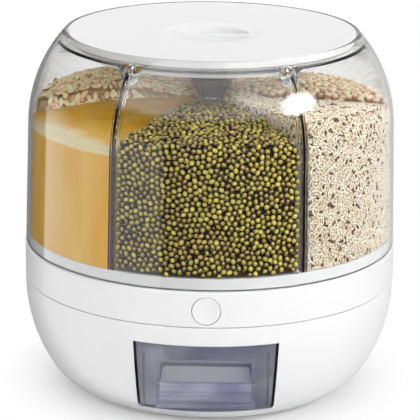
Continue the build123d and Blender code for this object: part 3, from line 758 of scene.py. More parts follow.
def drawer_outline(size, side_gap, end_gap):
    """The drawer front seen from the front, grown by the gaps round it."""
    corner = size.drawer_corner_r + end_gap
    return [(-size.drawer_top_half - side_gap, size.drawer_top_z + end_gap),
            (size.drawer_top_half + side_gap, size.drawer_top_z + end_gap),
            (size.drawer_low_half + side_gap, size.drawer_low_z - end_gap, corner),
            (-size.drawer_low_half - side_gap, size.drawer_low_z - end_gap, corner)]


class DispenserOperator(bpy.types.Operator):
    """Shared settings of the operators that make pieces."""

    bl_options = {"REGISTER", "UNDO"}

    def execute(self, context):
        self.make(context.scene.dispenser_sizes)
        return {"FINISHED"}


class DISPENSER_OT_base(DispenserOperator):
    """Makes the two white housings of the base"""

    bl_idname = "dispenser.base"
    bl_label = "Base housings"

    def lower(self, size):
        edge = 0.0006
        inside_z = size.foot_h + size.base_wall
        outer = bowl_curve(size, 0, size.foot_h)
        inner = bowl_curve(size, size.base_wall, inside_z)
        bowl = turned([(0, size.foot_h), *outer, (size.body_r, size.seam_z, edge),
                       (size.body_r - size.base_wall, size.seam_z), *reversed(inner), (0, inside_z)])
        opening = prism(drawer_outline(size, size.drawer_side_gap, size.drawer_end_gap), "Y", -0.2,
                        size.cut_depth - size.body_r)
        bowl = combined(bowl, opening)
        holes = gathered([rod(size.screw_hole_r, size.foot_h - 0.001, inside_z + 0.001, place)
                          for place in screw_places(size)])
        piece("lower_housing", combined(bowl, holes), "base", white_shell, ["base_bowl"])

    def upper(self, size):
        low_z = size.seam_z + size.seam_gap
        deck_low_z = size.deck_z - size.deck_t
        lap_r = size.body_r - size.base_wall - size.fit_gap
        inside_z = size.foot_h + size.base_wall
        top = turned([(size.deck_hole_r, deck_low_z), (size.body_r - size.base_wall, deck_low_z),
                      (size.body_r - size.base_wall, size.seam_z + size.lap_step_h),
                      (lap_r - size.lap_t, size.seam_z + size.lap_step_h),
                      (lap_r - size.lap_t, size.seam_z - size.lap_h, 0.0004),
                      (lap_r, size.seam_z - size.lap_h, 0.0004), (lap_r, low_z),
                      (size.body_r, low_z, 0.0006), (size.body_r, size.deck_z, 0.0016),
                      (size.deck_hole_r, size.deck_z)])
        bosses = [combined(rod(size.boss_r, inside_z, deck_low_z + 0.001, place),
                           rod(size.screw_hole_r, inside_z - 0.001, inside_z + 0.022, place))
                  for place in screw_places(size)]
        guide_y = size.base_wall / 2 - size.body_r
        hole_r = size.button_r + size.button_gap
        guide = laid(rod(hole_r + 0.002, -guide_y - 0.014, -guide_y), size.button_z)
        top = combined(top, gathered([*bosses, guide]), "UNION")
        outlet = box((-size.slot_half, -size.slot_y - size.slot_len / 2, deck_low_z - 0.001),
                     (size.slot_half, -size.slot_y + size.slot_len / 2, size.deck_z + 0.001))
        top = combined(top, gathered([laid(rod(hole_r, 0.12, 0.2), size.button_z), outlet]))
        piece("upper_housing", top, "base", white_shell, ["base_top"])

    def make(self, size):
        self.lower(size)
        self.upper(size)


class DISPENSER_OT_button(DispenserOperator):
    """Makes the dished push button with its stem"""

    bl_idname = "dispenser.button"
    bl_label = "Push button"

    def make(self, size):
        rim = 0.0009
        wall = 0.0022
        stem_r = 0.004
        dish = size.button_dish
        radius = ((size.button_r - rim)**2 + dish**2) / (2 * dish)
        spread = degrees(asin((size.button_r - rim) / radius))
        hollow = arc((0, size.body_r - dish + radius), radius, -90, spread - 90, 12)
        skirt_z = size.body_r - size.button_len
        inside_z = size.body_r - dish - wall
        bm = turned([*hollow, (size.button_r, size.body_r, 0.0005), (size.button_r, skirt_z, 0.0003),
                     (size.button_r - wall, skirt_z, 0.0003), (size.button_r - wall, inside_z),
                     (stem_r, inside_z), (stem_r, -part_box("button_cap")[1].y, 0.0004),
                     (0, -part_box("button_cap")[1].y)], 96)
        piece("push_button", laid(bm, size.button_z), "button", white_shell, ["button_cap"])


class DISPENSER_OT_drawer(DispenserOperator):
    """Makes the smoked drawer with its finger pocket and lip"""

    bl_idname = "dispenser.drawer"
    bl_label = "Drawer"

    def panel(self, size):
        """The drawer's front, which follows the bowl."""
        solid = combined(prism(drawer_outline(size, 0, 0), "Y", -0.2, -0.09), bowl_room(size, 0), "INTERSECT")
        return combined(solid, bowl_room(size, size.panel_t))

    def tray(self, size):
        """The open tray behind the front."""
        wall = size.drawer_wall
        front_y = -size.body_r
        back_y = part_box("drawer")[1].y
        in_half, in_low_z, in_top_z = size.tray_half - wall, size.tray_low_z + wall, size.tray_top_z + wall
        solid = prism([(-size.tray_half, size.tray_low_z, 0.004), (size.tray_half, size.tray_low_z, 0.004),
                       (size.tray_half, size.tray_top_z), (-size.tray_half, size.tray_top_z)],
                      "Y", front_y, back_y)
        room = prism([(-in_half, in_low_z, 0.003), (in_half, in_low_z, 0.003), (in_half, in_top_z),
                      (-in_half, in_top_z)], "Y", front_y, back_y - wall)
        return combined(combined(solid, bowl_room(size, 0.0002), "INTERSECT"),
                        combined(room, bowl_room(size, size.panel_t), "INTERSECT"))

    def crest(self, size, above):
        """Picks the upper edges of a pocket that run out of the drawer."""
        return lambda edge: (all(vert.co.z > size.pocket_back_z - above for vert in edge.verts)
                             and abs(edge.verts[0].co.x - edge.verts[1].co.x) < weld)

    def pocket_places(self, size):
        """The front of the base, the back of the pocket, and how high the pocket reaches in front."""
        front_y = -size.body_r
        back_y = front_y + size.pocket_back_depth
        mouth_y = front_y + 0.002
        rise = (size.pocket_mouth_z - size.pocket_back_z) / (back_y - mouth_y)
        return front_y, back_y, size.pocket_back_z + rise * (back_y - front_y)

    def hood(self, size):
        """The wall round the finger pocket."""
        wall = size.drawer_wall
        front_y, back_y, front_z = self.pocket_places(size)
        solid = prism([(front_y, size.pocket_floor_z - wall), (back_y + wall, size.pocket_floor_z - wall),
                       (back_y + wall, size.pocket_back_z + wall, 0.003), (front_y, front_z + wall)],
                      "X", -size.pocket_half - wall, size.pocket_half + wall)
        return combined(rounded(solid, 0.003, self.crest(size, 0)), bowl_room(size, 0.0004), "INTERSECT")

    def lip(self, size):
        """The lip in front of the pocket."""
        face_y = size.lip_depth - size.body_r
        back_y = size.pocket_back_depth - size.body_r - 2 * size.drawer_wall
        solid = prism([(face_y, size.lip_low_z, 0.0006), (back_y, size.lip_low_z),
                       (back_y, size.lip_top_z, 0.0006), (face_y, size.lip_top_z, 0.0012)],
                      "X", -size.lip_half, size.lip_half)

        def upright(edge):
            return (all(abs(vert.co.y - face_y) < 1e-5 for vert in edge.verts)
                    and abs(edge.verts[0].co.z - edge.verts[1].co.z) > 0.01)
        return rounded(solid, 0.0016, upright)

    def grooves(self, size):
        face_y = size.lip_depth - size.body_r
        return gathered([box((-size.groove_half, face_y - 0.001, middle_z - size.groove_h / 2),
                             (size.groove_half, face_y + size.groove_depth, middle_z + size.groove_h / 2))
                         for middle_z in (size.groove_low_z, size.groove_top_z)])

    def pocket(self, size):
        """The room for the fingertips."""
        front_y, back_y, front_z = self.pocket_places(size)
        lip_y = front_y + size.lip_depth + size.drawer_wall
        room = prism([(lip_y, size.pocket_floor_z, 0.0012), (back_y, size.pocket_floor_z, 0.0012),
                      (back_y, size.pocket_back_z, 0.003), (front_y, front_z), (front_y, size.lip_top_z),
                      (lip_y, size.lip_top_z)], "X", -size.pocket_half, size.pocket_half)
        return rounded(room, 0.004, self.crest(size, 0.004))

    def make(self, size):
        drawer = combined(self.tray(size), self.panel(size), "UNION")
        drawer = combined(drawer, self.hood(size), "UNION")
        drawer = combined(drawer, self.lip(size), "UNION")
        drawer = combined(combined(drawer, self.grooves(size)), self.pocket(size))
        piece("drawer_tray", drawer, "drawer", smoked_drawer, ["drawer"])


class DISPENSER_OT_barrel(DispenserOperator):
    """Makes the clear barrel with its divider channels, and its white floor"""

    bl_idname = "dispenser.barrel"
    bl_label = "Clear barrel"

    def channel(self, size, angle, side):
        """One wall of a divider's channel, with its flare under the neck."""
        start = size.divider_t / 2 + size.channel_gap
        low_z = size.floor_rim_z + size.divider_gap
        sides = sorted((side * start, side * (start + size.channel_t)))
        strip = prism([*wall_curve(size, size.barrel_wall / 2, low_z, size.ledge_z),
                       *reversed(wall_curve(size, size.barrel_wall + size.channel_depth, low_z,
                                            size.ledge_z))], "Y", *sides)
        edge = side * (start + size.channel_t / 2)
        reach = size.flare_w + size.channel_t / 2
        curve = [(edge + side * reach * (1 - cos(radians(turn))),
                  size.ledge_z - size.flare_h + size.flare_h * sin(radians(turn)))
                 for turn in range(0, 91, 9)]
        flare = prism([*curve, (edge, size.ledge_z)], "X", size.ledge_hole_r + 0.0035, size.barrel_r)
        inside = turned([(0, size.floor_rim_z),
                         *wall_curve(size, size.barrel_wall / 2, size.floor_rim_z, size.ledge_z),
                         (0, size.ledge_z)])
        return swung(combined(strip, combined(flare, inside, "INTERSECT"), "UNION"), angle)

    def shell(self, size):
        rim_r = wall_r(size, size.rim_z)
        seat_r = rim_r - size.rim_t
        seat_z = size.ledge_z + size.ledge_t
        edge = 0.0006
        seat = [(wall_r(size, seat_z + rise, size.rim_t), seat_z + rise)
                for rise in (0.0045, 0.003, 0.0015, 0)]
        outer = wall_curve(size, 0, size.barrel_z, size.rim_z)
        inner = wall_curve(size, size.barrel_wall, size.barrel_z, size.ledge_z)
        shell = turned([(*outer[0], edge), *outer[1:-1], (rim_r, size.rim_z, edge),
                        (seat_r, size.rim_z, edge), *seat, (size.ledge_hole_r, seat_z, edge),
                        (size.ledge_hole_r, size.ledge_z, edge), *reversed(inner[1:]), (*inner[0], edge)])
        for angle in divider_angles:
            for side in (-1, 1):
                shell = combined(shell, self.channel(size, angle, side), "UNION")
        piece("barrel_wall", shell, "barrel", clear_barrel, ["barrel_shell"])

    def floor(self, size):
        """The hopper floor, sloped to a round trough with an outlet in each compartment."""
        low_z, hub_r = size.floor_low_z, size.hub_r
        edge_r = wall_r(size, size.barrel_z, size.barrel_wall) - size.divider_gap
        cone_r = hub_r + 0.002
        bore_r = 0.00905
        trough_z = low_z + size.floor_t
        race_in_r, race_out_r, race_z = 0.122, 0.144, 0.1288
        bm = turned([(race_out_r, race_z), (race_out_r, low_z), (edge_r, low_z, 0.0004),
                     (edge_r, size.floor_rim_z, 0.0008), (edge_r - 0.0038, size.floor_rim_z, 0.0012),
                     (trough_out_r, trough_z, 0.004), (trough_in_r, trough_z, 0.004),
                     (cone_r, size.cone_z, 0.001), (hub_r, size.cone_z), (hub_r, size.hub_z, 0.0004),
                     (bore_r, size.hub_z), (bore_r, low_z), (hub_r, low_z),
                     (hub_r, size.cone_z - size.floor_t), (cone_r, size.cone_z - size.floor_t),
                     (trough_in_r, low_z), (race_in_r, low_z), (race_in_r, race_z)])
        slot_in_r, slot_out_r = 0.088, 0.104
        slots = [swung(box((slot_in_r, -size.slot_half, low_z - 0.001),
                           (slot_out_r, size.slot_half, size.floor_rim_z)), angle + half_compartment)
                 for angle in divider_angles]
        piece("hopper_floor", combined(bm, gathered(slots)), "barrel", white_shell, ["barrel_floor"])

    def make(self, size):
        self.shell(size)
        self.floor(size)


class DISPENSER_OT_dividers(DispenserOperator):
    """Makes the six clear dividers"""

    bl_idname = "dispenser.dividers"
    bl_label = "Dividers"

    def make(self, size):
        gap = size.divider_gap
        inset = size.barrel_wall + gap
        low_z = size.floor_rim_z + gap
        high_z = size.ledge_z - gap
        trough_z = size.floor_low_z + size.floor_t + gap
        near, neck = column_foot_r + gap, column_neck_r + gap
        cup_r = size.column_r + gap
        flare_r, flare_z = size.ledge_hole_r + 0.0035, 0.281
        top_z = 0.258
        wall = wall_curve(size, inset, low_z, high_z)
        for number, angle in enumerate(divider_angles, start=1):
            bm = prism([*wall, (flare_r, high_z), (flare_r, flare_z, 0.003),
                        (size.ledge_hole_r - 0.0095, flare_z, 0.003), (0.050, top_z, 0.01),
                        (cup_r, top_z, 0.001), (cup_r, cup_open_z - gap), (neck, cup_low_z - gap),
                        (neck, neck_low_z), (near, foot_top_z), (near, size.cone_z + gap),
                        (trough_in_r, trough_z), (trough_out_r, trough_z), (slope_out_r, low_z)],
                       "Y", -size.divider_t / 2, size.divider_t / 2)
            bm = rounded(bm, 0.0003, lambda edge: edge.calc_face_angle(0) > radians(80), 2)
            piece(f"divider_plate_{number}", swung(bm, angle), "barrel", clear_barrel,
                  [f"divider_{number}"])


class DISPENSER_OT_column(DispenserOperator):
    """Makes the centre column, which opens into a cup"""

    bl_idname = "dispenser.column"
    bl_label = "Centre column"

    def make(self, size):
        foot_z = size.cone_z + 0.0003
        in_foot_r, in_neck_r = column_foot_r - 0.002, column_neck_r - 0.002
        cup_r, cup_in_r = 0.0175, 0.0159
        bm = turned([(in_foot_r, foot_z), (column_foot_r, foot_z, 0.0005), (column_foot_r, foot_top_z, 0.006),
                     (column_neck_r, neck_low_z, 0.01), (column_neck_r, cup_low_z, 0.003),
                     (cup_r, cup_open_z, 0.004), (cup_r, cup_top_z, 0.0006), (cup_in_r, cup_top_z, 0.0006),
                     (cup_in_r, cup_open_z + 0.0008, 0.003), (0.0092, cup_low_z + 0.0016, 0.002),
                     (0, cup_low_z + 0.0016), (0, cup_low_z), (in_neck_r, cup_low_z, 0.001),
                     (in_neck_r, neck_low_z, 0.008), (in_foot_r, foot_top_z, 0.005)], 96)
        piece("column_with_cup", bm, "barrel", frosted_parts, ["centre_column"])


class DISPENSER_OT_lid(DispenserOperator):
    """Makes the dished lid with its finger wells, the seal and the drying box"""

    bl_idname = "dispenser.lid"
    bl_label = "Lid"

    def well(self, size):
        """The room for the fingertips behind the grip."""
        half = degrees(asin(size.grip_half / size.well_r))
        outline = arc((0, 0), size.well_r, half, 180 - half, 48)
        room = prism([(*outline[0], 0.0015), *outline[1:-1], (*outline[-1], 0.0015)], "Z", size.well_z,
                     size.rim_z + 0.002)
        return rounded(room, 0.002, lambda edge: all(vert.co.z < size.well_z + weld for vert in edge.verts))

    def cover(self, size):
        lid_t = 0.0024
        lid_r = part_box("lid_cover")[1].x
        dish_z = size.rim_z - size.lid_dish
        step_r = size.recess_r - 0.005
        step_z = dish_z - 0.0014
        seat_z = size.ledge_z + size.ledge_t + 0.0002
        under_z = size.rim_z - lid_t
        plug_r = size.ledge_hole_r - 0.004
        plug_t = 0.0022
        crown_r = lid_r - lid_t
        reach = crown_r - size.recess_r
        dish = [(size.recess_r + reach * n / 12, dish_z + size.lid_dish * (n / 12)**1.7)
                for n in range(1, 12)]
        cover = turned([(0, step_z), (step_r, step_z, 0.0012), (size.recess_r, dish_z, 0.0012), *dish,
                        (crown_r, size.rim_z, 0.003), (lid_r, size.rim_z, 0.0007), (lid_r, seat_z, 0.0005),
                        (crown_r, seat_z, 0.0005), (crown_r, under_z), (plug_r, under_z - 0.0002),
                        (plug_r, size.well_z, 0.0006), (plug_r - plug_t, size.well_z, 0.0006),
                        (plug_r - plug_t, under_z - 0.0004), (size.recess_r, under_z - size.lid_dish),
                        (size.well_r + lid_t, step_z - lid_t),
                        (size.well_r + lid_t, size.well_z - lid_t, 0.0015), (0, size.well_z - lid_t)])
        cover = combined(cover, gathered([swung(self.well(size), side) for side in (0, 180)]))

        def mouth(edge):
            near = [hypot(vert.co.x, vert.co.y) < size.well_r + 0.0002 for vert in edge.verts]
            return (all(near) and all(abs(vert.co.z - step_z) < 1e-5 for vert in edge.verts)
                    and edge.calc_face_angle(0) > radians(60))
        piece("lid", rounded(cover, 0.0009, mouth), "lid", white_shell, ["lid_cover"])

    def seal(self, size):
        in_r = size.ledge_hole_r - 0.004 + 0.00015
        out_r = size.ledge_hole_r - 0.0006
        low_z, middle_z, top_z = 0.2885, 0.29125, 0.294
        piece("seal_ring", turned([(in_r, low_z), (out_r, low_z, 0.0005), (out_r + 0.0003, middle_z, 0.002),
                                   (out_r, top_z, 0.0005), (in_r, top_z)]), "lid", soft_rubber, ["lid_seal"])

    def drying_box(self, size):
        wall, side_z, low_z = 0.0018, 0.277, 0.2635
        round_r = 0.0156
        top_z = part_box("drying_box")[1].z
        flat_r = size.box_r - round_r
        outer = bow((flat_r, low_z), (size.box_r, side_z), round_r)
        inner = bow((flat_r, low_z + wall), (size.box_r - wall, side_z), round_r - wall)
        bm = turned([(0, low_z), *outer, (size.box_r, top_z, 0.0006), (size.box_r - wall, top_z, 0.0006),
                     *reversed(inner), (0, low_z + wall)], 128)
        piece("drying_bowl", bm, "lid", frosted_parts, ["drying_box"])

    def make(self, size):
        self.cover(size)
        self.seal(size)
        self.drying_box(size)


class DISPENSER_OT_inside(DispenserOperator):
    """Winds the return spring and gives the hidden working parts their finishes"""

    bl_idname = "dispenser.inside"
    bl_label = "Working parts"

    def spring(self, size):
        low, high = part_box("return_spring")
        wire_r = 0.0005
        turns = 9
        steps = 24 * turns
        coil_r = (high.x - low.x) / 2 - wire_r
        climb = high.y - low.y - 2 * wire_r
        bm = bmesh.new()
        ring = bmesh.ops.create_circle(bm, segments=8, radius=wire_r)["verts"]
        bmesh.ops.translate(bm, vec=(coil_r, low.y + wire_r, size.button_z), verts=ring)
        bmesh.ops.spin(bm, geom=bm.verts[:] + bm.edges[:], cent=(0, 0, size.button_z), axis=(0, 1, 0),
                       dvec=(0, climb / steps, 0), angle=2 * pi * turns, steps=steps)
        bmesh.ops.holes_fill(bm, edges=bm.edges, sides=8)
        made = piece("coil_spring", close_up(bm), "base", bright_steel, ["return_spring"])
        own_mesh(made)

    def make(self, size):
        self.spring(size)
        dress(white_shell, "outlet_chute", "shutter_plate", "rail_left", "rail_right")
        dress(soft_rubber, "rubber_feet")
        dress(bright_steel, "case_screws", "pivot_post", "pivot_washer", "pivot_nut")
        dress(slide_plastic, "pivot_bush", "roller_cage", "rollers")


class Heap:
    """The dry food in one compartment: how high it stands at each place, and the room it has."""

    def __init__(self, size, angle, peak, slope=0.0, soft=0.01, bend=0.0, bumps=(), ripple=0.0):
        self.size = size
        self.angle = radians(angle)
        self.peak = peak
        self.slope = slope
        self.soft = soft
        self.bend = bend
        self.bumps = bumps
        self.ripple = ripple

    def top(self, x, y):
        """Height of the heap at a place."""
        far = hypot(x - self.peak[0], y - self.peak[1])
        high = self.peak[2] - self.slope * (hypot(far, self.soft) - self.soft) - self.bend * far**2
        for bump_x, bump_y, rise, spread in self.bumps:
            high += rise * exp(-((x - bump_x)**2 + (y - bump_y)**2) / spread**2)
        if self.ripple:
            high += self.ripple * noise.fractal(Vector((x, y, self.angle)) * 28, 0.8, 2.1, 4)
        return high

    def floor(self, r):
        """Height of the hopper floor at a radius."""
        size = self.size
        trough_z = size.floor_low_z + size.floor_t
        if r > slope_out_r:
            return size.floor_rim_z
        if r > trough_out_r:
            share = (r - trough_out_r) / (slope_out_r - trough_out_r)
            return trough_z + share * (size.floor_rim_z - trough_z)
        share = max(0, trough_in_r - r) / (trough_in_r - size.hub_r - 0.002)
        return trough_z + share * (size.cone_z - trough_z)

    def wall(self, z):
        """Inside radius of the clear wall at a height, less a hair."""
        return wall_r(self.size, z, self.size.barrel_wall) - 0.00015

    def clear(self, r, wall_at):
        """Least distance from a divider's middle that is free, at a radius."""
        plate = self.size.divider_t / 2 + 0.00015
        channel = plate + self.size.channel_gap + self.size.channel_t
        share = min(1, max(0, (r - wall_at + self.size.channel_depth + 0.004) / 0.003))
        return plate + share * (channel - plate)

    def near_r(self, z):
        """Radius that keeps clear of the centre column and its cup."""
        column_clear_r, cup_clear_r, cup_clear_z = 0.0157, 0.0187, 0.236
        return column_clear_r if z < cup_clear_z else cup_clear_r

    def at(self, r, turn, z):
        return Vector((r * cos(self.angle + turn), r * sin(self.angle + turn), z))

    def block(self, steps, wall_gap, side_gap, top_gap):
        """A closed body that fills the heap, moved in by the gaps."""
        bm = bmesh.new()
        bmesh.ops.create_cube(bm, size=2)
        bmesh.ops.subdivide_edges(bm, edges=bm.edges, cuts=steps, use_grid_fill=True)
        for vert in bm.verts:
            across, out, up = vert.co
            z = middle_z
            for _ in range(5):
                wall = self.wall(z) - wall_gap
                near = self.near_r(z) + side_gap
                r = near + (wall - near) * (out + 1) / 2
                free = self.clear(r, self.wall(z)) + side_gap
                turn = across * max(0.0, half_turn - asin(min(0.5, free / r)))
                place = self.at(r, turn, 0)
                low = self.floor(r) + 0.0003
                z = low + (self.top(place.x, place.y) - top_gap - low) * (up + 1) / 2
            vert.co = self.at(r, turn, z)
        return close_up(bm)


def settled(width, height, spacing, draw, rounds=18):
    """Places on a rectangle at random, pushed apart until they are about a spacing from each other."""
    rows = max(1, round(height / (spacing * 0.87)))
    columns = max(1, round(width / spacing))
    across, up = np.meshgrid(np.arange(columns), np.arange(rows))
    places = np.stack([(across + 0.5 * (up % 2) + 0.25) * width / columns, (up + 0.5) * height / rows], -1)
    places = places.reshape(-1, 2) + draw.normal(0, 0.6 * spacing, (rows * columns, 2))
    for _ in range(rounds):
        for start in range(0, len(places), 500):
            part = places[start:start + 500]
            apart = part[:, None] - places[None]
            far = np.hypot(apart[..., 0], apart[..., 1])
            push = np.clip(spacing - far, 0, None) / np.maximum(far, spacing * 0.01)
            places[start:start + 500] = part + 0.45 * (apart * push[..., None]).sum(1)
        places = np.clip(places, [0, 0], [width, height])
    return places


def turned_axes(draw, tilt):
    """A turn at random: any way round the third axis, then tilted by up to about tilt radians."""
    spin = Matrix.Rotation(draw.uniform(0, 2 * pi), 3, "Z")
    angle = draw.normal(0, tilt)
    axis = Vector((draw.normal(), draw.normal(), 0.001)).normalized()
    return np.array(Matrix.Rotation(angle, 3, axis) @ spin)


highest_z = 0.270


class Food:
    """One kind of bean or grain, and the places where each of its pieces lies."""

    def __init__(self, heap, radii, spread, tilt, tones, seed):
        self.heap = heap
        self.radii = np.array(radii)
        self.spread = spread
        self.tilt = tilt
        self.tones = tones
        self.draw = np.random.default_rng(seed)
        self.centres, self.axes, self.outs, self.highlight_ways = [], [], [], []

    def spacing(self, closeness):
        return closeness * (self.radii[0] + self.radii[1])

    def lay(self, place, along, up, out, depth, sink=1.0):
        """Lays a piece so that it touches a surface at a place, on the side away from out.

        Its painted highlight sits where it reaches out most between out and straight up."""
        upward = 0.4
        own = np.array([along, up, out]).T @ turned_axes(self.draw, self.tilt)
        own = own * (self.radii * self.draw.normal(1, self.spread, 3))
        thick = np.linalg.norm(own.T @ np.array(out))
        self.centres.append(np.array(place) - np.array(out) * (depth + sink * thick))
        self.axes.append(own)
        self.outs.append(np.array(out) / thick)
        # The way to the painted highlight: out, tipped up by upward
        highlight_way = np.array(out) + np.array((0, 0, upward))
        self.highlight_ways.append(highlight_way / np.linalg.norm(own.T @ highlight_way))

    def against_wall(self, depth, closeness, low_z=0.0):
        """A layer that lies against the clear wall."""
        heap = self.heap
        r = heap.wall(middle_z)
        reach = max(self.radii[:2]) * 0.9
        half = half_turn - asin((heap.clear(r, r) + reach) / r)
        start_z = max(low_z, heap.size.floor_rim_z + 0.0004)
        spacing = self.spacing(closeness)
        for round_wall, rise in settled(2 * r * half, highest_z - start_z, spacing, self.draw):
            z = start_z + rise
            turn = round_wall / r - half
            wall = heap.wall(z)
            place = heap.at(wall, turn, z)
            if z + self.radii[2] * 0.4 > heap.top(place.x * 0.97, place.y * 0.97):
                continue
            if z < start_z + reach * 0.7:
                continue
            if wall * sin(half_turn - abs(turn)) < heap.clear(wall, wall) + reach * 0.9:
                continue
            out = heap.at(1, turn, 0)
            along = Vector((-out.y, out.x, 0))
            lean = (wall - heap.wall(z + 0.001)) / 0.001
            up = (Vector((0, 0, 1)) - out * lean).normalized()
            self.lay(place, along, up, along.cross(up), depth)

    def on_top(self, depth, closeness, sink=0.6):
        """A layer over the heap's top."""
        heap = self.heap
        mid = heap.at(1, 0, 0)
        side = Vector((-mid.y, mid.x, 0))
        reach = max(self.radii[:2]) * 0.95
        long, wide = 0.155, 0.165
        edge = radians(29.9)
        for far, across in settled(long, wide, self.spacing(closeness), self.draw):
            across -= wide / 2
            place = mid * far + side * across
            r = hypot(place.x, place.y)
            turn = atan2(across, far)
            z = heap.top(place.x, place.y)
            if abs(turn) > edge or r < heap.near_r(z) + reach or r > heap.wall(z) - reach:
                continue
            if r * sin(half_turn - abs(turn)) < heap.clear(r, heap.wall(z)) + reach:
                continue
            step = 0.002
            slope_x = (heap.top(place.x + step, place.y) - heap.top(place.x - step, place.y)) / (2 * step)
            slope_y = (heap.top(place.x, place.y + step) - heap.top(place.x, place.y - step)) / (2 * step)
            out = Vector((-slope_x, -slope_y, 1)).normalized()
            along = Vector((1, 0, slope_x)).normalized()
            jitter = self.draw.normal(0, 0.22 * self.radii[2])
            self.lay(Vector((place.x, place.y, z + jitter)), along, out.cross(along), out, depth, sink)

    def against_dividers(self, closeness, low_z):
        """A layer against each divider, above low_z."""
        heap = self.heap
        reach = max(self.radii[:2]) * 0.95
        start_r, long = 0.018, 0.130
        for side in (-1, 1):
            for far, rise in settled(long, highest_z - low_z, self.spacing(closeness), self.draw):
                r, z = start_r + far, low_z + rise
                turn = side * (half_turn - asin(min(0.5, heap.clear(r, heap.wall(z)) / r)))
                place = heap.at(r, turn, z)
                if r < heap.near_r(z) + reach or r > heap.wall(z) - heap.size.channel_depth - reach:
                    continue
                if z + self.radii[2] > heap.top(place.x, place.y):
                    continue
                plane = heap.angle + side * half_turn
                out = Vector((-sin(plane), cos(plane), 0)) * side
                along = Vector((cos(plane), sin(plane), 0)) * side
                self.lay(place, along, (0, 0, 1), out, 0.0)

    def poured(self, name, look, segments, rings, core=None, core_tone=0.25, core_rise=0.3):
        """One piece that holds every bean, with its own tone on each, and a core behind them."""
        count = len(self.centres)
        single = bmesh.new()
        bmesh.ops.create_uvsphere(single, u_segments=segments, v_segments=rings, radius=1)
        bm = bmesh.new()
        held = bpy.data.meshes.new("held")
        single.to_mesh(held)
        rest = np.array([vert.co for vert in held.vertices])
        for power in range(count.bit_length()):
            if count >> power & 1:
                bm.from_mesh(held)
            double = bmesh.new()
            double.from_mesh(held)
            double.from_mesh(held)
            double.to_mesh(held)
            double.free()
        single.free()
        bpy.data.meshes.remove(held)
        if core:
            move_into(bm, core)
        made = piece(name, bm, "barrel", look, sharp=80)
        mesh = made.data
        lying = np.einsum("vj,nij->nvi", rest, np.array(self.axes)) + np.array(self.centres)[:, None]
        where = np.empty(len(mesh.vertices) * 3)
        mesh.vertices.foreach_get("co", where)
        where[:lying.size] = lying.ravel()
        mesh.vertices.foreach_set("co", where)
        tones = np.full(len(mesh.vertices), core_tone)
        tones[:lying.size // 3] = np.repeat(self.tones(self.draw, count), len(rest))
        mesh.attributes.new("tone", "FLOAT", "POINT").data.foreach_set("value", tones)
        # On each point: rise, how far it stands out, which sets the painted shade between the beans, and a
        # share for the painted highlight. The core's points get core_rise, so part of the painted gap shade
        # falls on it.
        from_middle = np.einsum("vj,nij->nvi", rest, np.array(self.axes))
        for label, ways in (("rise", self.outs), ("bulge", self.highlight_ways)):
            shares = np.full(len(mesh.vertices), core_rise)
            shares[:lying.size // 3] = np.einsum("nvi,ni->nv", from_middle, np.array(ways)).ravel()
            mesh.attributes.new(label, "FLOAT", "POINT").data.foreach_set("value", shares)
        mesh.update()
        return made


def even_tones(draw, count):
    return draw.uniform(0.12, 1, count)


def mung_tones(draw, count):
    """Mostly olive green, with brown and dark ones among them and a few pale ones."""
    tones = draw.normal(0.58, 0.17, count)
    odd = draw.uniform(0, 1, count)
    tones[odd < 0.2] = draw.normal(0.30, 0.06, (odd < 0.2).sum())
    tones[odd > 0.965] = 0.98
    return np.clip(tones, 0.16, 1)


def deep_tones(draw, count):
    """Beans that lie behind others, in their shade."""
    return draw.uniform(0.0, 0.12, count)


def rice_tones(draw, count):
    """Cream to brown grains, with about one dark grain in twelve."""
    tones = draw.uniform(0.3, 1, count)
    tones[draw.uniform(0, 1, count) < 0.08] = 0.06
    return tones


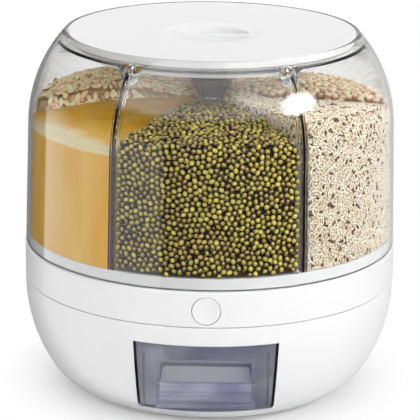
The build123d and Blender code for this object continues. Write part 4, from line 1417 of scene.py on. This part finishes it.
class DISPENSER_OT_food(DispenserOperator):
    """Fills the six compartments with dry food"""

    bl_idname = "dispenser.food"
    bl_label = "Dry food"

    def make(self, size):
        heap = Heap(size, -90, (0, -0.062, 0.2510), slope=0.16, soft=0.02, ripple=0.0008)
        mung = Food(heap, (0.00268, 0.00212, 0.00210), 0.05, 0.5, mung_tones, 1)
        mung.against_wall(0, 1.01)
        mung.on_top(0, 1.01)
        mung.against_dividers(1.02, 0.212)
        mung.poured("mung_beans", mung_beans, 7, 5, heap.block(14, 0.0055, 0.0042, 0.0045))
        under = Food(heap, (0.00235, 0.00200, 0.00195), 0.05, 0.5, deep_tones, 2)
        under.against_wall(0.0036, 1.1)
        under.on_top(0.0036, 1.1)
        under.poured("mung_beans_behind", mung_beans, 6, 4)

        corn = Heap(size, -150, (0, 0, 0.2455), bend=0.75, ripple=0.0012)
        bm = corn.block(56, 0.0, 0.0, 0.0)
        piece("ground_corn", bm, "barrel", ground_corn, sharp=60)

        heap = Heap(size, -30, (0.085, -0.11, 0.2540), bend=0.9, bumps=[(0.02, -0.01, 0.008, 0.03)],
                    ripple=0.0012)
        rice = Food(heap, (0.0028, 0.00098, 0.00098), 0.08, 0.3, rice_tones, 3)
        rice.against_wall(0, 0.72)
        rice.poured("brown_rice", brown_rice, 5, 4, heap.block(14, 0.0021, 0.002, 0.002), 0.6, 0.35)
        above = Food(heap, (0.0028, 0.00098, 0.00098), 0.08, 0.35, rice_tones, 7)
        above.on_top(0, 0.72)
        above.against_dividers(0.8, 0.212)
        above.poured("brown_rice_top", brown_rice, 5, 4)

        heap = Heap(size, 30, (0.065, 0.03, 0.2490), bend=1.1, ripple=0.0012)
        soya = Food(heap, (0.0035, 0.0032, 0.0030), 0.05, 0.6, even_tones, 4)
        soya.against_wall(0, 1.02)
        soya.on_top(0, 1.0)
        soya.against_dividers(1.02, 0.206)
        soya.poured("soya_beans", soya_beans, 8, 6, heap.block(12, 0.0065, 0.006, 0.0065))

        heap = Heap(size, 90, (0, 0.05, 0.236), bend=0.6, ripple=0.0012)
        lentils = Food(heap, (0.0024, 0.0023, 0.0012), 0.06, 0.25, even_tones, 5)
        lentils.against_wall(0, 0.9)
        lentils.on_top(0, 0.9)
        lentils.against_dividers(0.95, 0.2)
        lentils.poured("red_lentils", red_lentils, 7, 4, heap.block(12, 0.0024, 0.0023, 0.0022))

        heap = Heap(size, 150, (-0.075, 0.043, 0.2585), slope=0.28, soft=0.01, ripple=0.0012)
        seeds = Food(heap, (0.0050, 0.0026, 0.0016), 0.10, 0.45, even_tones, 6)
        seeds.against_wall(0, 0.68)
        seeds.on_top(0, 0.66, 0.2)
        seeds.against_dividers(0.66, 0.212)
        seeds.poured("large_seeds", large_seeds, 7, 4, heap.block(12, 0.0034, 0.0032, 0.003), 0.2)


class DISPENSER_OT_stage(bpy.types.Operator):
    """Sets up the floor, the lamps and the camera"""

    bl_idname = "dispenser.stage"
    bl_label = "Stage"

    def floor(self, tint):
        """A wide white floor that keeps the shadow and runs out into the white background."""
        bm = bmesh.new()
        bmesh.ops.create_grid(bm, x_segments=1, y_segments=1, size=12)
        mesh = bpy.data.meshes.new("floor")
        bm.to_mesh(mesh)
        bm.free()
        made = Finish("floor")
        matt = made.node("ShaderNodeBsdfDiffuse", values={"Color": list(tint.floor)})
        glow = made.node("ShaderNodeEmission", values={"Color": (1, 1, 1), "Strength": 0.05})
        near = made.node("ShaderNodeAddShader", values={0: matt, 1: glow})
        far = made.node("ShaderNodeEmission", values={"Color": (1, 1, 1), "Strength": 1.0})
        out = made.node("ShaderNodeVectorMath", {"operation": "LENGTH"}, {0: made.place()}, result=1)
        fade_r = 0.100
        shown = made.either(((out - fade_r) * 13).clamped(), near, far)
        shown = made.either(made.once_mirrored(), shown, made.node("ShaderNodeBsdfTransparent"))
        mesh.materials.append(made.done(made.either(made.ray("Is Diffuse Ray"), shown, matt)))
        floor = bpy.data.objects.new("floor", mesh)
        floor.visible_glossy = False
        bpy.context.scene.collection.objects.link(floor)

    def lamp(self, name, place, aim, width, height, radiance, soft=False):
        """A rectangular lamp of a given brightness, aimed at a point. A soft one isn't mirrored."""
        data = bpy.data.lights.new(name, "AREA")
        data.shape = "RECTANGLE"
        data.size = width
        data.size_y = height
        data.energy = radiance * pi * width * height
        made = bpy.data.objects.new(name, data)
        made.location = place
        made.rotation_euler = (Vector(aim) - Vector(place)).to_track_quat("-Z", "Y").to_euler()
        made.visible_glossy = not soft
        made.visible_transmission = not soft
        bpy.context.scene.collection.objects.link(made)
        return made

    def light_only(self, lamp, names):
        """Keeps a lamp's light to the pieces named."""
        lit = bpy.data.collections.new(lamp.name)
        for name in names:
            lit.objects.link(bpy.context.scene.objects[name])
        lamp.light_linking.receiver_collection = lit

    key_turn = radians(64)
    key_rise = radians(27.6)

    def key_way(self):
        """Direction from the object to the key lamp."""
        return Vector((cos(self.key_rise) * sin(self.key_turn), -cos(self.key_rise) * cos(self.key_turn),
                       sin(self.key_rise)))

    def light(self, made, shade, strength):
        return made.node("ShaderNodeBackground", values={"Color": shade, "Strength": strength})

    def world(self):
        """Even light, a white background, and a studio of white and dark sides in what is glossy."""
        world = bpy.data.worlds.new("studio")
        bpy.context.scene.world = world
        made = Finish("studio", world, "ShaderNodeOutputWorld")
        way = made.node("ShaderNodeTexCoord", result="Generated")
        up = made.part(way, "Z")
        turn = made.part(way, "X").maths("ARCTAN2", -1 * made.part(way, "Y")) * (0.5 / pi) + 0.5
        # Brightness of the sides at three heights, by the angle round the object from straight ahead
        low = [(-180, 0.15), (-150, 0.04), (-125, 0.03), (-124, 0.6), (-29.5, 0.36), (-28.5, 0.03),
               (60, 0.03), (120, 0.15), (150, 0.3), (180, 0.3)]
        middle = [(-180, 0.36), (-150, 0.3), (-125, 0.04), (60, 0.03), (120, 0.15), (150, 0.3), (180, 0.36)]
        high = [(-180, 0.45), (-150, 0.3), (-125, 0.06), (-72, 0.06), (-66, 1.0), (-26, 1.0), (-21, 0.6),
                (17, 0.6), (22, 1.0), (54, 1.0), (64, 0.4), (80, 0.2), (120, 0.15), (150, 0.3), (180, 0.45)]
        low, middle, high = (
            made.node("ShaderNodeValToRGB", {"stops": [((angle + 180) / 360, (level, level, level))
                                                       for angle, level in sides]}, {"Fac": turn})
            for sides in (low, middle, high))
        sides = made.blend(((up + 0.06) * 6).clamped(), low, middle)
        sides = made.blend(((up - 0.36) * 10).clamped(), sides, high)
        # A soft round glow about the key lamp
        to_side = Vector((cos(self.key_turn), sin(self.key_turn), 0))
        half_w, half_h = 0.170, 0.106
        across = made.along(way, to_side) * (1 / half_w)
        rise = made.along(way, self.key_way().cross(to_side)) * (1 / half_h)
        far = (across ** 2 + rise ** 2) ** 0.5
        halo = ((1.5 - far) * 1.6).clamped() ** 2 * (made.along(way, self.key_way()) * 2).clamped()
        studio = made.node("ShaderNodeAddShader", values={0: self.light(made, sides, 2.0),
                                                          1: self.light(made, halo, 20)})
        through = made.ray("Is Transmission Ray") * (1 - made.ray("Diffuse Depth")).clamped()
        lit = made.either(made.ray("Is Camera Ray") + through, self.light(made, (1, 1, 1), 0.42),
                          self.light(made, (1, 1, 1), 1))
        made.done(made.either(made.ray("Is Glossy Ray") + through * made.once_mirrored(), lit, studio))

    def camera(self):
        """The camera, at the photograph's height, tilt and slight turn to the right."""
        focal_px = 2308.2
        frame_px = 420
        sensor = 36.0
        distance = 1.8729
        height = 0.6911
        side_turn = radians(0.75)
        tilt = 0.2831
        roll = 0.0121
        data = bpy.data.cameras.new("camera")
        data.lens = focal_px / frame_px * sensor
        data.sensor_width = sensor
        data.clip_end = 100
        made = bpy.data.objects.new("camera", data)
        turn = Matrix.Rotation(side_turn, 4, "Z")
        made.matrix_world = (turn @ Matrix.Translation((0, -distance, height))
                             @ Matrix.Rotation(pi / 2 - tilt, 4, "X") @ Matrix.Rotation(roll, 4, "Z"))
        bpy.context.scene.collection.objects.link(made)
        bpy.context.scene.camera = made

    def execute(self, context):
        self.floor(context.scene.dispenser_colours)
        self.world()
        self.camera()
        middle = (0, 0, 0.16)
        shoulder = Vector((0.069, -0.125, 0.27))
        key = self.lamp("key", shoulder + 1.7 * self.key_way(), shoulder, 0.57, 0.36, 15)
        key.data.shape = "ELLIPSE"
        self.lamp("front_fill", (0.90, -2.2, 0.85), middle, 1.6, 1.0, 3.5, soft=True)
        self.lamp("left_fill", (-2.1, -0.8, 1.0), middle, 1.2, 1.0, 2.2, soft=True)
        self.lamp("overhead", (0, -0.2, 2.2), middle, 1.4, 1.4, 2.1, soft=True)
        self.lamp("back_fill", (-0.3, 2.2, 1.1), middle, 1.8, 1.0, 3.0, soft=True)
        heaps = ["brown_rice_top", "soya_beans", "red_lentils", "large_seeds"]
        inside = self.lamp("heap_fill", (-0.1, -1.6, 0.66), (0, 0.09, 0.24), 1.2, 0.5, 14, soft=True)
        self.light_only(inside, heaps)
        sheen = self.lamp("grain_sheen", (-0.25, -1.5, 1.15), (0, -0.1, 0.2), 0.9, 0.7, 26)
        sheen.visible_diffuse = False
        sheen.visible_transmission = False
        self.light_only(sheen, ["mung_beans", "mung_beans_behind", "brown_rice", *heaps])
        context.scene.view_settings.view_transform = "Standard"
        context.scene.cycles.max_bounces = 32
        context.scene.cycles.transmission_bounces = 32
        context.scene.cycles.transparent_max_bounces = 48
        return {"FINISHED"}


class DISPENSER_PT_panel(bpy.types.Panel):
    """Lists the makers of the dispenser's pieces"""

    bl_label = "Grain dispenser"
    bl_idname = "DISPENSER_PT_panel"
    bl_space_type = "VIEW_3D"
    bl_region_type = "UI"
    bl_category = "Dispenser"

    def draw(self, context):
        for maker in makers:
            self.layout.operator(maker.bl_idname)


makers = (DISPENSER_OT_base, DISPENSER_OT_button, DISPENSER_OT_drawer, DISPENSER_OT_barrel,
          DISPENSER_OT_dividers, DISPENSER_OT_column, DISPENSER_OT_lid, DISPENSER_OT_inside,
          DISPENSER_OT_food, DISPENSER_OT_stage)
classes = (DispenserSizes, DispenserColours, *makers, DISPENSER_PT_panel)


def register():
    for item in classes:
        bpy.utils.register_class(item)
    bpy.types.Scene.dispenser_sizes = PointerProperty(type=DispenserSizes)
    bpy.types.Scene.dispenser_colours = PointerProperty(type=DispenserColours)


def unregister():
    del bpy.types.Scene.dispenser_colours
    del bpy.types.Scene.dispenser_sizes
    for item in reversed(classes):
        bpy.utils.unregister_class(item)


def main():
    register()
    bpy.ops.dispenser.base()
    bpy.ops.dispenser.button()
    bpy.ops.dispenser.drawer()
    bpy.ops.dispenser.barrel()
    bpy.ops.dispenser.dividers()
    bpy.ops.dispenser.column()
    bpy.ops.dispenser.lid()
    bpy.ops.dispenser.inside()
    bpy.ops.dispenser.food()
    bpy.ops.dispenser.stage()
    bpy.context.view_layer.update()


if __name__ == "__main__":
    main()
